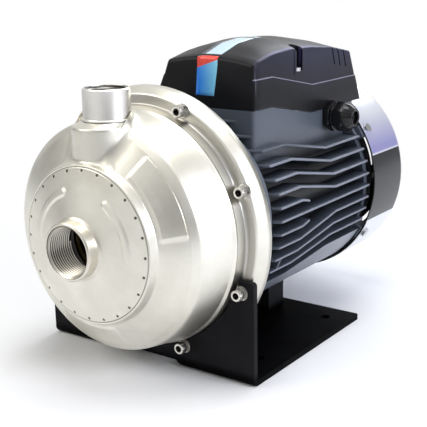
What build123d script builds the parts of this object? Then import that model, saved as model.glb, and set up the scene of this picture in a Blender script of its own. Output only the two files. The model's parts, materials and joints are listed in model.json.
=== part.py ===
from build123d import *
import os
from math import cos, degrees, radians, sin, sqrt

# Close-coupled centrifugal pump: pressed stainless casing, closed impeller on the motor's shaft,
# wavy-finned motor with a terminal box on top, and a folded steel base.
# The shaft runs along Y with the suction port towards -Y. The base stands on Z = 0 and the origin
# is the centre of its four foot holes. Distances along the shaft are counted from the rear edge of
# the casing's rim, and heights from the shaft, except where a name ends in _z.

os.makedirs("parts", exist_ok=True)

# Frame of the whole pump
shaft_height = 120.0
foot_spacing_x = 174.0
foot_spacing_y = 115.0
foot_hole_radius = 4.5
rear_foot_from_rim = 141.0
rim_y = foot_spacing_y / 2 - rear_foot_from_rim

# General fits
slip = 0.05
part_gap = 0.3
seat_gap = 0.1

# Pump casing, pressed from sheet
casing_wall = 2.0
rim_radius = 115.5
rim_roll = 1.1
flange_round = 6.0
flange_width = 15.1
bolt_edge_distance = 8.5
flange_face = -13.0
rim_shoulder = -5.0
bead_draft = 0.6
bead_crest = -26.8
drum_edge = -57.5
drum_taper = 4.8
drum_shift_x = -5.0
drum_shift_z = -2.0
drum_brow = -64.0
brow_drop = 6.5
brow_share = 0.8
drum_round = 3.0
collar_face = -79.5
collar_radius = 67.6
collar_share = 0.3
collar_draft = 2.0
disc_edge = -87.5
disc_radius = 64.0
disc_round = 2.4
disc_slope = 0.28
rim_shoulder_radius = rim_radius - rim_roll
flange_flat_radius = rim_radius - flange_round
bolt_circle_radius = rim_radius - bolt_edge_distance
bead_foot_radius = rim_radius - flange_width
bead_radius = bead_foot_radius - bead_draft
drum_radius = bead_radius - drum_taper
drum_brow_radius = drum_radius - brow_drop

# Relief pressed outwards: two panels on the cone and two arcs on the disc, as (start, end) angles
panel_angles = ((10.0, 56.0), (-121.0, -75.0))
panel_lift = 1.6
panel_inner_radius = 68.0
panel_outer_margin = 4.5
arc_angles = ((-4.0, 55.0), (112.0, 176.0))
arc_radius = 45.5
arc_half_width = 2.6
arc_lift = 0.9

# Ports
suction_mouth = -110.0
suction_outer_radius = 23.5
suction_bore_radius = 19.476
suction_length = 25.0
suction_chamfer = 1.2
discharge_from_rim = -56.6
discharge_length = 25.0
discharge_outer_radius = 18.8
discharge_bore_radius = 15.146
discharge_chamfer = 1.0
neck_radius = 23.5
neck_shift_x = -2.0
neck_from_rim = -61.5
neck_shoulder_drop = 5.5
neck_shoulder_rise = 5.5
neck_shoulder_height = drum_radius - neck_shoulder_drop
discharge_weld_height = neck_shoulder_height + neck_shoulder_rise
weld_leg = 2.2

# Inner suction plate and wear ring
inner_sheet = 1.5
spot_ring_radius = 60.0
plate_lip = 9.0
wear_ring_radius = 28.3
wear_ring_wall = 2.7
wear_ring_front = -69.5
wear_ring_length = 7.5

# Impeller
impeller_radius = 72.0
shroud_sheet = 1.5
back_shroud_face = -44.5
outlet_width = 6.5
eye_radius = 26.5
eye_plane = -60.0
eye_collar_length = 8.0
vane_count = 6
vane_thickness = 1.6
vane_inner_radius = 24.0
vane_wrap = 95.0
vane_mid_share = 0.38
hub_radius = 13.0
hub_front = -62.0
hub_rear = -40.0
nut_flats = 19.0
nut_height = 9.0
washer_height = 2.0
impeller_washer_radius = 11.0
key_width = 5.0
key_length = 16.0

# Casing cover and shaft seal
cover_sheet = 2.5
cover_grip = 2.6
cover_seat_width = 15.0
cover_radius = bead_foot_radius + cover_grip
cover_step_radius = cover_radius - cover_seat_width
cover_face = -38.0
cover_face_radius = 68.0
seal_cup_radius = 19.5
seal_cup_floor = -18.5
oring_section_radius = 2.0
seat_radius = 13.5
seat_length = 6.0
carbon_radius = 12.5
carbon_length = 4.0
seal_bore_radius = 8.6
spring_radius = 11.8
spring_wire = 1.8
slinger_gap = 5.0
slinger_thickness = 4.0

# Motor bracket and bearings
bracket_edge_radius = rim_radius - casing_wall - 0.5
bracket_flange_back = 4.0
bracket_back_step = 15.0
bracket_cone_length = 16.0
bracket_throat = 12.0
bracket_mouth_radius = 80.0
bracket_waist_radius = 88.0
bracket_wall = 5.0
bracket_web = 6.0
web_front = 12.0
front_bearing_front = 23.0
front_bearing_width = 14.0
front_bearing_outer_radius = 23.5
rear_bearing_front = 198.0
rear_bearing_width = 12.0
rear_bearing_outer_radius = 20.0
bearing_ring_share = 0.28
ball_count = 7
hub_wall = 6.0

# Shaft
pump_end_radius = 6.0
pump_end = -75.5
seal_shaft_radius = 8.0
front_journal_radius = 10.0
core_shaft_radius = 14.0
shoulder_radius = 12.0
rear_journal_radius = 8.5
fan_seat_radius = 7.5
fan_end = 262.0

# Motor
housing_front = 44.0
housing_rear = 213.0
barrel_radius = 78.0
stator_radius = 70.0
fin_radius = 95.0
fin_front = 50.0
fin_root_radius = 84.0
fin_pitch = 11.6
fin_thickness = 3.0
fin_rows_below = 4
fin_rows_above = 7
wave_start = 86.0
wave_end = 146.0
underside = -90.5
stack_front = 78.0
stack_rear = 166.0
bore_radius = 39.0
air_gap = 0.4
end_ring_inner_radius = 24.0
slot_land = 3.0
slot_count = 24
slot_depth = 15.0
slot_width = 4.5
coil_overhang = 20.0
end_ring_length = 8.0
spigot_length = 6.0
shield_radius = 88.0
shield_thickness = 7.0
lug_width = 12.0
lug_root = 4.0
cover_screw_length = 7.0

# Cooling fan and its cover
fan_cover_radius = 98.0
fan_cover_front = 218.0
fan_cover_rear = 284.0
fan_cover_sheet = 1.5
fan_cover_round = 9.0
fan_radius = 86.0
fan_front = 232.0
fan_depth = 24.0
fan_disc = 3.0
fan_blades = 8
blade_thickness = 2.5
fan_hub_radius = 16.0
fan_eye_gap = 6.0
fan_clip_width = 3.0
fan_clip_thickness = 1.2
grille_rows = (27.0, 44.0, 61.0, 78.0)
grille_slot_width = 7.0
grille_slots_per_row = 8
grille_rib = 5.0

# Terminal box, set to the right of the shaft, with a side that leans in on the left
box_right = 68.0
box_left = -41.0
box_left_top = -23.5
box_left_screw = -20.0
box_lean_start = 90.0
box_centre_x = (box_right + box_left) / 2
box_half_width = (box_right - box_left) / 2
box_top_middle = (box_right + box_left_top) / 2
box_front = 50.0
box_front_rim = 92.5
box_rear_rim = 78.5
box_rear_top = 214.7
box_rear_foot = 238.0
box_rear_corner = 229.0
box_rear_corner_height = 82.0
rim_wave_start = 78.0
box_wall = 2.5
box_ridge = ((50.0, 129.5, 5.0), (81.0, 135.7, 8.0), (110.0, 137.5, 9.0), (146.0, 136.5, 8.5),
             (180.0, 133.5, 6.5), (215.0, 127.5, 4.0), (242.0, 122.0, 2.0))
box_round = 3.0
box_top = 175.0
box_line_height = 25.0
box_line_width = 1.0
box_line_depth = 0.5
pedestal_overhang = 1.0
pedestal_wall = 4.0
gasket_thickness = 1.0
box_screw_from_rim = 122.0
box_screw_height = 117.5
box_screw_inset = 4.0
box_screw_pocket_radius = 6.5
capacitor_radius = 16.0
capacitor_length = 72.0
capacitor_front = 134.0
capacitor_x = 42.0
tab_spacing = 10.0
tab_size = (1.0, 6.0, 8.0)
terminal_block_front = 62.0
terminal_block_size = (40.0, 34.0, 13.0)
stud_spacing_x = 11.76
stud_spacing_y = 21.25
stud_length = 10.4

# Cable gland on the right side
gland_from_rim = 178.0
gland_height = 70.5
gland_thread_radius = 6.2
gland_collar_radius = 14.4
gland_stand_off = 1.6
gland_collar_length = 5.0
gland_body_radius = 11.0
gland_nut_radius = 14.0
gland_nut_length = 21.4
gland_nut_crown = 11.5
gland_seal_radius = 8.0
gland_seal_length = 10.0
gland_lip = 3.5
gland_dome_length = 9.0
gland_mouth_radius = 6.0
locknut_flats = 18.0
locknut_thickness = 4.0
cable_radius = 4.0

# Base, folded from one sheet, and the support under the motor
sheet = 5.0
base_half_width = rim_radius - 5.5
base_rear = 165.0
upright_drop = 31.5
upright_cut_clearance = 1.0
upright_corner = 3.0
fold_radius = 6.0
notch_half_width = 33.0
notch_slant = 2.0
notch_z = 6.0
notch_depth = 22.0
support_half_width = 34.0
support_front = 125.0
support_rear = 152.0
support_wall = 3.0

# Screws
bolt_count = 8
bolt_radius = 3.0
bolt_head_radius = 5.0
bolt_head_height = 6.0
bolt_engagement = 11.0
washer_radius = 6.0
washer_thickness = 1.6
spring_washer_radius = 5.4
socket_flats = 5.0
socket_depth = 3.2
screw_radius = 2.5
screw_head_radius = 4.5
screw_head_height = 3.0

shaft_axis = Axis((0, rim_y, shaft_height), (0, 1, 0))
side_plane = Plane(origin=(0, rim_y, shaft_height), x_dir=(0, 1, 0), z_dir=(1, 0, 0))
bolt_angles = [360 / bolt_count * (n + 0.5) for n in range(bolt_count)]
low_bolt_angles = [angle for angle in bolt_angles if sin(radians(angle)) < 0]
high_bolt_angles = [angle for angle in bolt_angles if sin(radians(angle)) > 0]


def station(along):
    """Cross plane at a distance along the shaft: local x to the right, y up, facing the suction."""
    return Plane(origin=(0, rim_y + along, shaft_height), x_dir=(1, 0, 0), z_dir=(0, -1, 0))


def level(height, x=0.0, along=0.0):
    """Level plane at a height above the shaft, with its origin at the given place."""
    return Plane.XY.offset(shaft_height + height).move(Location((x, rim_y + along, 0)))


def profile(*points, rounds=()):
    """Closed face of (along the shaft, radius) points, with rounded corners as (index, radius)."""
    with BuildSketch(side_plane) as face:
        with BuildLine():
            Polyline(*points, close=True)
        make_face()
        for index, radius in rounds:
            corner = Vector(points[index][0], points[index][1])
            fillet(face.vertices().sort_by_distance(corner)[0], radius)
    return face.sketch


def radial_plane(angle, radius, along):
    """Plane facing outward on a circle round the shaft, with local x along the shaft."""
    outward = (cos(radians(angle)), 0, sin(radians(angle)))
    place = (radius * outward[0], rim_y + along, shaft_height + radius * outward[2])
    return Plane(origin=place, x_dir=(0, 1, 0), z_dir=outward)


def around(angles, radius):
    """Places on a circle round the shaft in a cross plane."""
    return [(radius * cos(radians(angle)), radius * sin(radians(angle))) for angle in angles]


def write(builder, name):
    builder.part.label = name
    export_step(builder.part, f"parts/{name}.step")


def casing_form(inset):
    """The casing's outer form, or its hollow when inset by the wall."""
    disc_tip = disc_edge - disc_slope * disc_radius
    circles = (
        (collar_face + inset, collar_radius - inset, collar_share),
        (drum_brow + inset, drum_brow_radius - inset, brow_share),
        (drum_edge + inset, drum_radius - inset, 1.0),
        (bead_crest, bead_radius - inset, 0.0),
    )
    with BuildPart() as form:
        for along, radius, share in circles:
            with BuildSketch(station(along)):
                with Locations((drum_shift_x * share, drum_shift_z * share)):
                    Circle(radius)
        loft(ruled=True)
        brow = form.edges().filter_by(GeomType.CIRCLE).sort_by(Axis.Y)
        fillet(brow[1:3], drum_round)
        revolve(
            profile(
                (disc_tip + inset, 0),
                (disc_edge + inset, disc_radius - inset),
                (collar_face + inset, disc_radius + collar_draft - inset),
                (drum_brow, disc_radius - inset),
                (drum_brow, 0),
                rounds=((1, disc_round - inset),),
            ),
            axis=shaft_axis,
        )
        revolve(
            profile(
                (bead_crest, 0),
                (bead_crest, bead_radius - inset),
                (flange_face + inset, bead_foot_radius - inset),
                (flange_face + inset, flange_flat_radius - inset / 4),
                (rim_shoulder, rim_shoulder_radius - inset),
                (0, rim_radius - inset),
                (0, 0),
            ),
            axis=shaft_axis,
        )
        with BuildSketch(level(0, neck_shift_x, neck_from_rim)):
            Circle(neck_radius - inset)
        extrude(amount=neck_shoulder_height - inset)
        with BuildSketch(level(neck_shoulder_height - inset, neck_shift_x, neck_from_rim)):
            Circle(neck_radius - inset)
        with BuildSketch(level(discharge_weld_height, 0, discharge_from_rim)):
            Circle(discharge_outer_radius - inset)
        loft(ruled=True)
    return form.part


disc_tip = disc_edge - disc_slope * disc_radius
disc_at_port = disc_tip + disc_slope * suction_outer_radius


def ring_sector(start, end, inner, outer):
    """Part of a ring between two angles, drawn in a cross plane."""
    with BuildSketch() as face:
        with BuildLine():
            rim = CenterArc((0, 0), outer, start, end - start)
            root = CenterArc((0, 0), inner, start, end - start)
            Line(root @ 0, rim @ 0)
            Line(root @ 1, rim @ 1)
        make_face()
    return face.sketch


def pressed_panels():
    """Panels raised on the cone: the cone again, set forward and cut to the panels' outlines."""
    with BuildPart() as panels:
        for along, radius, share in (
            (collar_face, collar_radius, collar_share),
            (drum_brow, drum_brow_radius, brow_share),
        ):
            with BuildSketch(station(along - panel_lift)):
                with Locations((drum_shift_x * share, drum_shift_z * share)):
                    Circle(radius)
        loft(ruled=True)
        with BuildSketch(station(collar_face - panel_lift)):
            for start, end in panel_angles:
                add(ring_sector(start, end, panel_inner_radius, drum_brow_radius - panel_outer_margin))
        extrude(amount=collar_face - drum_brow, mode=Mode.INTERSECT)
    return panels.part


def pressed_arcs():
    """Arcs raised on the disc, each a flat-topped bead turned part of the way round the shaft."""
    with BuildPart() as arcs:
        for start, end in arc_angles:
            bead = revolve(
                profile(
                    (disc_tip + disc_slope * arc_radius + casing_wall / 2, arc_radius - arc_half_width),
                    (disc_tip + disc_slope * (arc_radius - arc_half_width), arc_radius - arc_half_width),
                    (disc_tip + disc_slope * arc_radius - arc_lift, arc_radius - arc_half_width / 2),
                    (disc_tip + disc_slope * arc_radius - arc_lift, arc_radius + arc_half_width / 2),
                    (disc_tip + disc_slope * (arc_radius + arc_half_width), arc_radius + arc_half_width),
                    (disc_tip + disc_slope * arc_radius + casing_wall / 2, arc_radius + arc_half_width),
                ),
                axis=shaft_axis,
                revolution_arc=end - start,
                mode=Mode.PRIVATE,
            )
            add(bead.rotate(shaft_axis, 90 - end))
    return arcs.part


with BuildPart() as pump_casing:
    add(casing_form(0))
    add(pressed_panels())
    add(pressed_arcs())
    add(casing_form(casing_wall), mode=Mode.SUBTRACT)
    with BuildSketch(station(suction_mouth)):
        Circle(suction_outer_radius + slip)
    extrude(amount=-suction_length, mode=Mode.SUBTRACT)
    with BuildSketch(level(discharge_weld_height, 0, discharge_from_rim)):
        Circle(discharge_outer_radius - casing_wall)
    extrude(amount=-discharge_outer_radius / 2, mode=Mode.SUBTRACT)
    with BuildSketch(level(discharge_weld_height, 0, discharge_from_rim)):
        Circle(discharge_outer_radius + weld_leg / 2 + slip)
    extrude(amount=discharge_length, mode=Mode.SUBTRACT)
    with BuildSketch(station(flange_face)):
        with Locations(*around(bolt_angles, bolt_circle_radius)):
            Circle(bolt_radius + part_gap)
    extrude(amount=-casing_wall * 2, mode=Mode.SUBTRACT)
write(pump_casing, "pump_casing")

# The suction port ends in a weld bead on the disc.
weld_edge = suction_outer_radius + weld_leg
with BuildPart() as suction_port:
    revolve(
        profile(
            (suction_mouth, suction_bore_radius),
            (suction_mouth, suction_outer_radius),
            (disc_at_port - weld_leg, suction_outer_radius),
            (disc_tip + disc_slope * weld_edge - seat_gap, weld_edge),
            (disc_at_port - seat_gap, suction_outer_radius),
            (suction_mouth + suction_length, suction_outer_radius),
            (suction_mouth + suction_length, suction_bore_radius),
        ),
        axis=shaft_axis,
    )
    chamfer(suction_port.edges().filter_by(GeomType.CIRCLE).group_by(Axis.Y)[0], suction_chamfer)
write(suction_port, "suction_port")

with BuildPart() as discharge_port:
    with BuildSketch(level(discharge_weld_height, 0, discharge_from_rim)):
        Circle(discharge_outer_radius)
        Circle(discharge_bore_radius, mode=Mode.SUBTRACT)
    extrude(amount=discharge_length)
    with BuildSketch(level(discharge_weld_height, 0, discharge_from_rim)):
        Circle(discharge_outer_radius + weld_leg / 2)
        Circle(discharge_bore_radius, mode=Mode.SUBTRACT)
    extrude(amount=weld_leg / 2)
    chamfer(discharge_port.edges().filter_by(GeomType.CIRCLE).group_by(Axis.Z)[-1], discharge_chamfer)
write(discharge_port, "discharge_port")

# Inside the disc, the suction plate is spot-welded on a ring and carries the wear ring.
disc_inner_slope = disc_slope * disc_radius / (disc_radius - casing_wall)


def disc_inside(radius):
    """Place of the disc's inner face at a radius."""
    return disc_tip + casing_wall + seat_gap + disc_inner_slope * radius


lip_outer = spot_ring_radius + plate_lip / 6
lip_inner = lip_outer - plate_lip
wear_ring_outer = wear_ring_radius + wear_ring_wall
wear_ring_rear = wear_ring_front + wear_ring_length
plate_collar = wear_ring_outer + slip
with BuildPart() as suction_plate:
    revolve(
        profile(
            (disc_inside(lip_outer), lip_outer),
            (disc_inside(lip_inner), lip_inner),
            (wear_ring_front, plate_collar),
            (wear_ring_rear, plate_collar),
            (wear_ring_rear, plate_collar + inner_sheet),
            (wear_ring_front + inner_sheet / 2, plate_collar + inner_sheet),
            (disc_inside(lip_inner) + inner_sheet, lip_inner + inner_sheet),
            (disc_inside(lip_outer) + inner_sheet, lip_outer),
        ),
        axis=shaft_axis,
    )
write(suction_plate, "suction_plate")

with BuildPart() as wear_ring:
    with BuildSketch(station(wear_ring_front)):
        Circle(wear_ring_outer)
        Circle(wear_ring_radius, mode=Mode.SUBTRACT)
    extrude(amount=-wear_ring_length)
write(wear_ring, "wear_ring")

# Impeller: hub, back shroud, curved vanes and front shroud with its eye collar.
outlet_face = back_shroud_face - outlet_width
keyway_height = sqrt(seal_shaft_radius**2 - (key_width / 2) ** 2) + key_width / 2
key_place = (hub_front + hub_rear) / 2

with BuildPart() as impeller_hub:
    with BuildSketch(station(hub_front)):
        Circle(hub_radius)
        Circle(seal_shaft_radius + slip, mode=Mode.SUBTRACT)
        with Locations((0, keyway_height / 2)):
            Rectangle(key_width + 2 * slip, keyway_height + 2 * slip, mode=Mode.SUBTRACT)
    extrude(amount=hub_front - hub_rear)
write(impeller_hub, "impeller_hub")

with BuildPart() as impeller_key:
    with BuildSketch(station(key_place - key_length / 2)):
        with Locations((0, keyway_height - key_width / 2)):
            Rectangle(key_width, key_width)
    extrude(amount=-key_length)
write(impeller_key, "impeller_key")

with BuildPart() as impeller_back_shroud:
    with BuildSketch(station(back_shroud_face)):
        Circle(impeller_radius)
        Circle(hub_radius + slip, mode=Mode.SUBTRACT)
    extrude(amount=-shroud_sheet)
write(impeller_back_shroud, "impeller_back_shroud")

camber_points = [
    Vector(radius * cos(radians(angle)), radius * sin(radians(angle)))
    for radius, angle in (
        (vane_inner_radius, 0),
        ((vane_inner_radius + impeller_radius) / 2, vane_wrap * vane_mid_share),
        (impeller_radius, vane_wrap),
    )
]
camber = Edge.make_three_point_arc(*camber_points)
with BuildPart() as impeller_vanes:
    with BuildSketch(station(back_shroud_face)):
        with PolarLocations(0, vane_count):
            SlotArc(camber, vane_thickness)
    extrude(amount=back_shroud_face - eye_plane)
    revolve(
        profile(
            (back_shroud_face, hub_radius + part_gap),
            (back_shroud_face, impeller_radius),
            (outlet_face + seat_gap, impeller_radius),
            (eye_plane + seat_gap, eye_radius),
            (eye_plane + seat_gap, hub_radius + part_gap),
        ),
        axis=shaft_axis,
        mode=Mode.INTERSECT,
    )
write(impeller_vanes, "impeller_vanes")

eye_collar_radius = eye_radius + shroud_sheet
with BuildPart() as impeller_front_shroud:
    revolve(
        profile(
            (outlet_face, impeller_radius),
            (outlet_face - shroud_sheet, impeller_radius),
            (eye_plane - shroud_sheet, eye_collar_radius),
            (eye_plane - eye_collar_length, eye_collar_radius),
            (eye_plane - eye_collar_length, eye_radius),
            (eye_plane, eye_radius),
        ),
        axis=shaft_axis,
    )
write(impeller_front_shroud, "impeller_front_shroud")

with BuildPart() as impeller_washer:
    with BuildSketch(station(hub_front)):
        Circle(impeller_washer_radius)
        Circle(pump_end_radius + slip, mode=Mode.SUBTRACT)
    extrude(amount=washer_height)
write(impeller_washer, "impeller_washer")

with BuildPart() as impeller_nut:
    with BuildSketch(station(hub_front - washer_height)):
        RegularPolygon(nut_flats / 2, 6, major_radius=False)
        Circle(pump_end_radius + slip, mode=Mode.SUBTRACT)
    extrude(amount=nut_height)
write(impeller_nut, "impeller_nut")

# Casing cover with the seal cup, and the O-ring in the corner in front of it.
flange_back = flange_face + casing_wall
cover_back = flange_back + cover_sheet
cup_inside = seal_cup_radius - cover_sheet
with BuildPart() as casing_cover:
    revolve(
        profile(
            (flange_back, cover_radius),
            (flange_back, cover_step_radius),
            (cover_face, cover_face_radius),
            (cover_face, cup_inside),
            (seal_cup_floor, cup_inside),
            (seal_cup_floor, seal_bore_radius + cover_sheet / 2),
            (seal_cup_floor + cover_sheet, seal_bore_radius + cover_sheet / 2),
            (seal_cup_floor + cover_sheet, seal_cup_radius),
            (cover_face + cover_sheet, seal_cup_radius),
            (cover_face + cover_sheet, cover_face_radius - cover_sheet / 2),
            (cover_back, cover_step_radius - cover_sheet / 2),
            (cover_back, cover_radius),
        ),
        axis=shaft_axis,
    )
write(casing_cover, "casing_cover")

oring_radius = bead_foot_radius - casing_wall - oring_section_radius - seat_gap
with BuildPart() as casing_oring:
    with BuildSketch(side_plane):
        with Locations((flange_back - oring_section_radius - seat_gap, oring_radius)):
            Circle(oring_section_radius)
    revolve(axis=shaft_axis)
write(casing_oring, "casing_oring")

# Shaft seal, from the cup's floor to the impeller's hub.


def sleeve(front, rear, outer, inner):
    """Plain ring round the shaft between two stations."""
    with BuildPart() as ring:
        with BuildSketch(station(front)):
            Circle(outer)
            Circle(inner, mode=Mode.SUBTRACT)
        extrude(amount=front - rear)
    return ring


seat_front = seal_cup_floor - seat_length
carbon_front = seat_front - slip - carbon_length
bellows_radius = spring_radius - spring_wire
slinger_back = web_front - slinger_gap
seal_rings = {
    "seal_seat": (seat_front, seal_cup_floor, seat_radius, seal_bore_radius),
    "seal_seat_gasket": (seat_front + slip, seal_cup_floor, cup_inside - slip, seat_radius + slip),
    "seal_carbon_ring": (carbon_front, seat_front - slip, carbon_radius, seal_bore_radius),
    "seal_bellows": (hub_rear, carbon_front, bellows_radius, seal_shaft_radius + slip),
    "seal_spring": (hub_rear + slip, carbon_front - slip, spring_radius, bellows_radius + slip),
    "slinger": (slinger_back - slinger_thickness, slinger_back, hub_radius, seal_shaft_radius + slip),
}
for name, sizes in seal_rings.items():
    write(sleeve(*sizes), name)

# Bearings: both rings and the balls, front and rear.


def bearing_sizes(outer, journal):
    """Ring radii, ball radius and pitch radius of a ball bearing."""
    wall = bearing_ring_share * (outer - journal)
    race_outer = outer - wall
    race_inner = journal + slip + wall
    return race_outer, race_inner, (race_outer - race_inner) / 2 - slip, (race_outer + race_inner) / 2


for side, front, width, outer, journal in (
    ("front", front_bearing_front, front_bearing_width, front_bearing_outer_radius, front_journal_radius),
    ("rear", rear_bearing_front, rear_bearing_width, rear_bearing_outer_radius, rear_journal_radius),
):
    race_outer, race_inner, ball, pitch = bearing_sizes(outer, journal)
    write(sleeve(front, front + width, outer, race_outer), f"{side}_bearing_outer_ring")
    write(sleeve(front, front + width, race_inner, journal + slip), f"{side}_bearing_inner_ring")
    with BuildPart() as balls:
        with Locations(station(front + width / 2)):
            with PolarLocations(pitch, ball_count):
                Sphere(ball)
    write(balls, f"{side}_bearing_balls")

# Motor bracket: flange, web and bearing hub in one casting.
front_bearing_rear = front_bearing_front + front_bearing_width
web_back = web_front + bracket_web
front_hub_radius = front_bearing_outer_radius + hub_wall
bracket_bore = front_bearing_outer_radius + slip
tie_radius = (stator_radius + barrel_radius) / 2
spigot_radius = stator_radius - slip
with BuildPart() as motor_bracket:
    revolve(
        profile(
            (flange_back, cover_radius + part_gap),
            (flange_back, flange_flat_radius - casing_wall / 2),
            (rim_shoulder, rim_shoulder_radius - casing_wall - part_gap),
            (0, bracket_edge_radius),
            (bracket_flange_back, bracket_edge_radius),
            (bracket_flange_back, bracket_edge_radius - bracket_back_step),
            (bracket_flange_back + bracket_cone_length, bracket_waist_radius),
            (housing_front, bracket_waist_radius),
            (housing_front, spigot_radius),
            (housing_front + spigot_length, spigot_radius),
            (housing_front + spigot_length, spigot_radius - bracket_wall),
            (web_back + bracket_throat, spigot_radius - bracket_wall),
            (web_back, bracket_waist_radius - bracket_wall),
            (web_back, front_hub_radius),
            (front_bearing_rear, front_hub_radius),
            (front_bearing_rear, bracket_bore),
            (front_bearing_front, bracket_bore),
            (front_bearing_front, front_bearing_outer_radius - bracket_wall),
            (web_front, front_bearing_outer_radius - bracket_wall),
            (web_front, bracket_mouth_radius),
            (cover_back, bracket_waist_radius + bracket_wall),
            (cover_back, cover_radius + part_gap),
        ),
        axis=shaft_axis,
    )
    with BuildSketch(station(flange_back)):
        with Locations(*around(bolt_angles, bolt_circle_radius)):
            Circle(bolt_radius + slip)
    extrude(amount=flange_back - bracket_flange_back, mode=Mode.SUBTRACT)
    with BuildSketch(station(housing_front)):
        with PolarLocations(tie_radius, 4, start_angle=45):
            Circle(screw_radius + slip)
    extrude(amount=bolt_engagement, mode=Mode.SUBTRACT)
write(motor_bracket, "motor_bracket")

# Shaft with the keyway under the impeller.
thread_root = hub_front + 1
with BuildPart() as shaft:
    revolve(
        profile(
            (pump_end, 0),
            (pump_end, pump_end_radius),
            (thread_root, pump_end_radius),
            (thread_root, seal_shaft_radius),
            (web_front + 2, seal_shaft_radius),
            (web_front + 2, front_journal_radius),
            (front_bearing_rear, front_journal_radius),
            (front_bearing_rear, shoulder_radius),
            (stack_front - coil_overhang, shoulder_radius),
            (stack_front - coil_overhang, core_shaft_radius),
            (stack_rear + coil_overhang, core_shaft_radius),
            (stack_rear + coil_overhang, shoulder_radius),
            (rear_bearing_front, shoulder_radius),
            (rear_bearing_front, rear_journal_radius),
            (rear_bearing_front + rear_bearing_width, rear_journal_radius),
            (rear_bearing_front + rear_bearing_width, fan_seat_radius),
            (fan_end, fan_seat_radius),
            (fan_end, 0),
        ),
        axis=shaft_axis,
    )
    with BuildSketch(station(key_place - key_length / 2 - slip)):
        with Locations((0, keyway_height - key_width / 2)):
            Rectangle(key_width + 2 * slip, key_width + 2 * slip)
    extrude(amount=-key_length - 2 * slip, mode=Mode.SUBTRACT)
write(shaft, "shaft")

# Rotor and stator.
rotor_radius = bore_radius - air_gap
write(sleeve(stack_front, stack_rear, rotor_radius, core_shaft_radius + slip), "rotor_core")
with BuildPart() as rotor_end_rings:
    for near, far in ((stack_front - end_ring_length, stack_front), (stack_rear, stack_rear + end_ring_length)):
        with BuildSketch(station(near)):
            Circle(rotor_radius - 1)
            Circle(end_ring_inner_radius, mode=Mode.SUBTRACT)
        extrude(amount=near - far)
write(rotor_end_rings, "rotor_end_rings")

slot_middle = bore_radius + slot_land + slot_depth / 2
with BuildPart() as stator_core:
    with BuildSketch(station(stack_front)):
        Circle(stator_radius)
        Circle(bore_radius, mode=Mode.SUBTRACT)
        with PolarLocations(slot_middle, slot_count):
            Rectangle(slot_depth, slot_width, mode=Mode.SUBTRACT)
    extrude(amount=stack_front - stack_rear)
write(stator_core, "stator_core")

wire_depth = slot_depth - 2 * part_gap
with BuildPart() as stator_windings:
    with BuildSketch(station(stack_front - coil_overhang)):
        Circle(slot_middle + wire_depth / 2)
        Circle(slot_middle - wire_depth / 2, mode=Mode.SUBTRACT)
    extrude(amount=-(coil_overhang - part_gap))
    with BuildSketch(station(stack_rear + part_gap)):
        Circle(slot_middle + wire_depth / 2)
        Circle(slot_middle - wire_depth / 2, mode=Mode.SUBTRACT)
    extrude(amount=-(coil_overhang - part_gap))
    with BuildSketch(station(stack_front - part_gap)):
        with PolarLocations(slot_middle, slot_count):
            Rectangle(wire_depth - 1, slot_width - 2 * part_gap)
    extrude(amount=stack_front - stack_rear - 2 * part_gap)
write(stator_windings, "stator_windings")

# Motor housing: barrel, waved fins, foot block and the pedestal of the terminal box.


def fin_band(row):
    """Side outline of one fin: it steps towards the shaft's height by one pitch on its way back."""
    front = row * fin_pitch
    step = fin_pitch if row > 0 else -fin_pitch
    rear = front - step if abs(row) > 1 else front
    half = fin_thickness / 2
    if row == 0:
        return [(housing_front, -half), (housing_rear, -half), (housing_rear, half), (housing_front, half)]
    if abs(row) == 1:
        tip = wave_start + fin_pitch
        return [
            (housing_front, front - half),
            (wave_start, front - half),
            (tip, front - half - step / 4),
            (tip, front + half - step / 4),
            (wave_start, front + half),
            (housing_front, front + half),
        ]
    return [
        (housing_front, front - half),
        (wave_start, front - half),
        (wave_end, rear - half),
        (housing_rear, rear - half),
        (housing_rear, rear + half),
        (wave_end, rear + half),
        (wave_start, front + half),
        (housing_front, front + half),
    ]


def side_prism(points, centre_x, half_width, mode=Mode.ADD):
    """Prism along X of a side outline, about a centre; it works in the part that is open."""
    with BuildSketch(side_plane.offset(centre_x)) as outline:
        with BuildLine():
            Polyline(*points, close=True)
        make_face()
    return extrude(outline.sketch, amount=half_width, both=True, mode=mode)


def rim_line(drop, front, rear):
    """Waved line of the terminal box's lower rim."""
    return [
        (front, box_front_rim - drop),
        (rim_wave_start, box_front_rim - drop),
        (wave_end, box_rear_rim - drop),
        (rear, box_rear_rim - drop),
    ]


lowest_fin = -(fin_rows_below + 1) * fin_pitch
pedestal_half_width = box_half_width - pedestal_overhang
pedestal_side = box_centre_x + pedestal_half_width
well_front = box_front + pedestal_wall
well_rear = housing_rear - pedestal_wall
screw_places = [(x, box_screw_from_rim) for x in (box_left_screw, box_right - box_screw_inset)]

with BuildPart() as well:
    side_prism(
        [(well_front, 0)] + rim_line(-box_wall, well_front, well_rear) + [(well_rear, 0)],
        box_centre_x,
        pedestal_half_width - pedestal_wall,
    )
    with BuildSketch(station(housing_front)):
        Circle(barrel_radius)
    extrude(amount=housing_front - housing_rear, mode=Mode.SUBTRACT)
    for x, along in screw_places:
        wall_x = pedestal_side if x > box_centre_x else box_centre_x - pedestal_half_width
        with BuildSketch(level(0, (x + wall_x) / 2, along)):
            Rectangle(abs(wall_x - x), screw_radius * 2)
        with BuildSketch(level(0, x, along)):
            Circle(screw_radius * 2)
        extrude(amount=box_front_rim + box_wall, mode=Mode.SUBTRACT)

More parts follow.
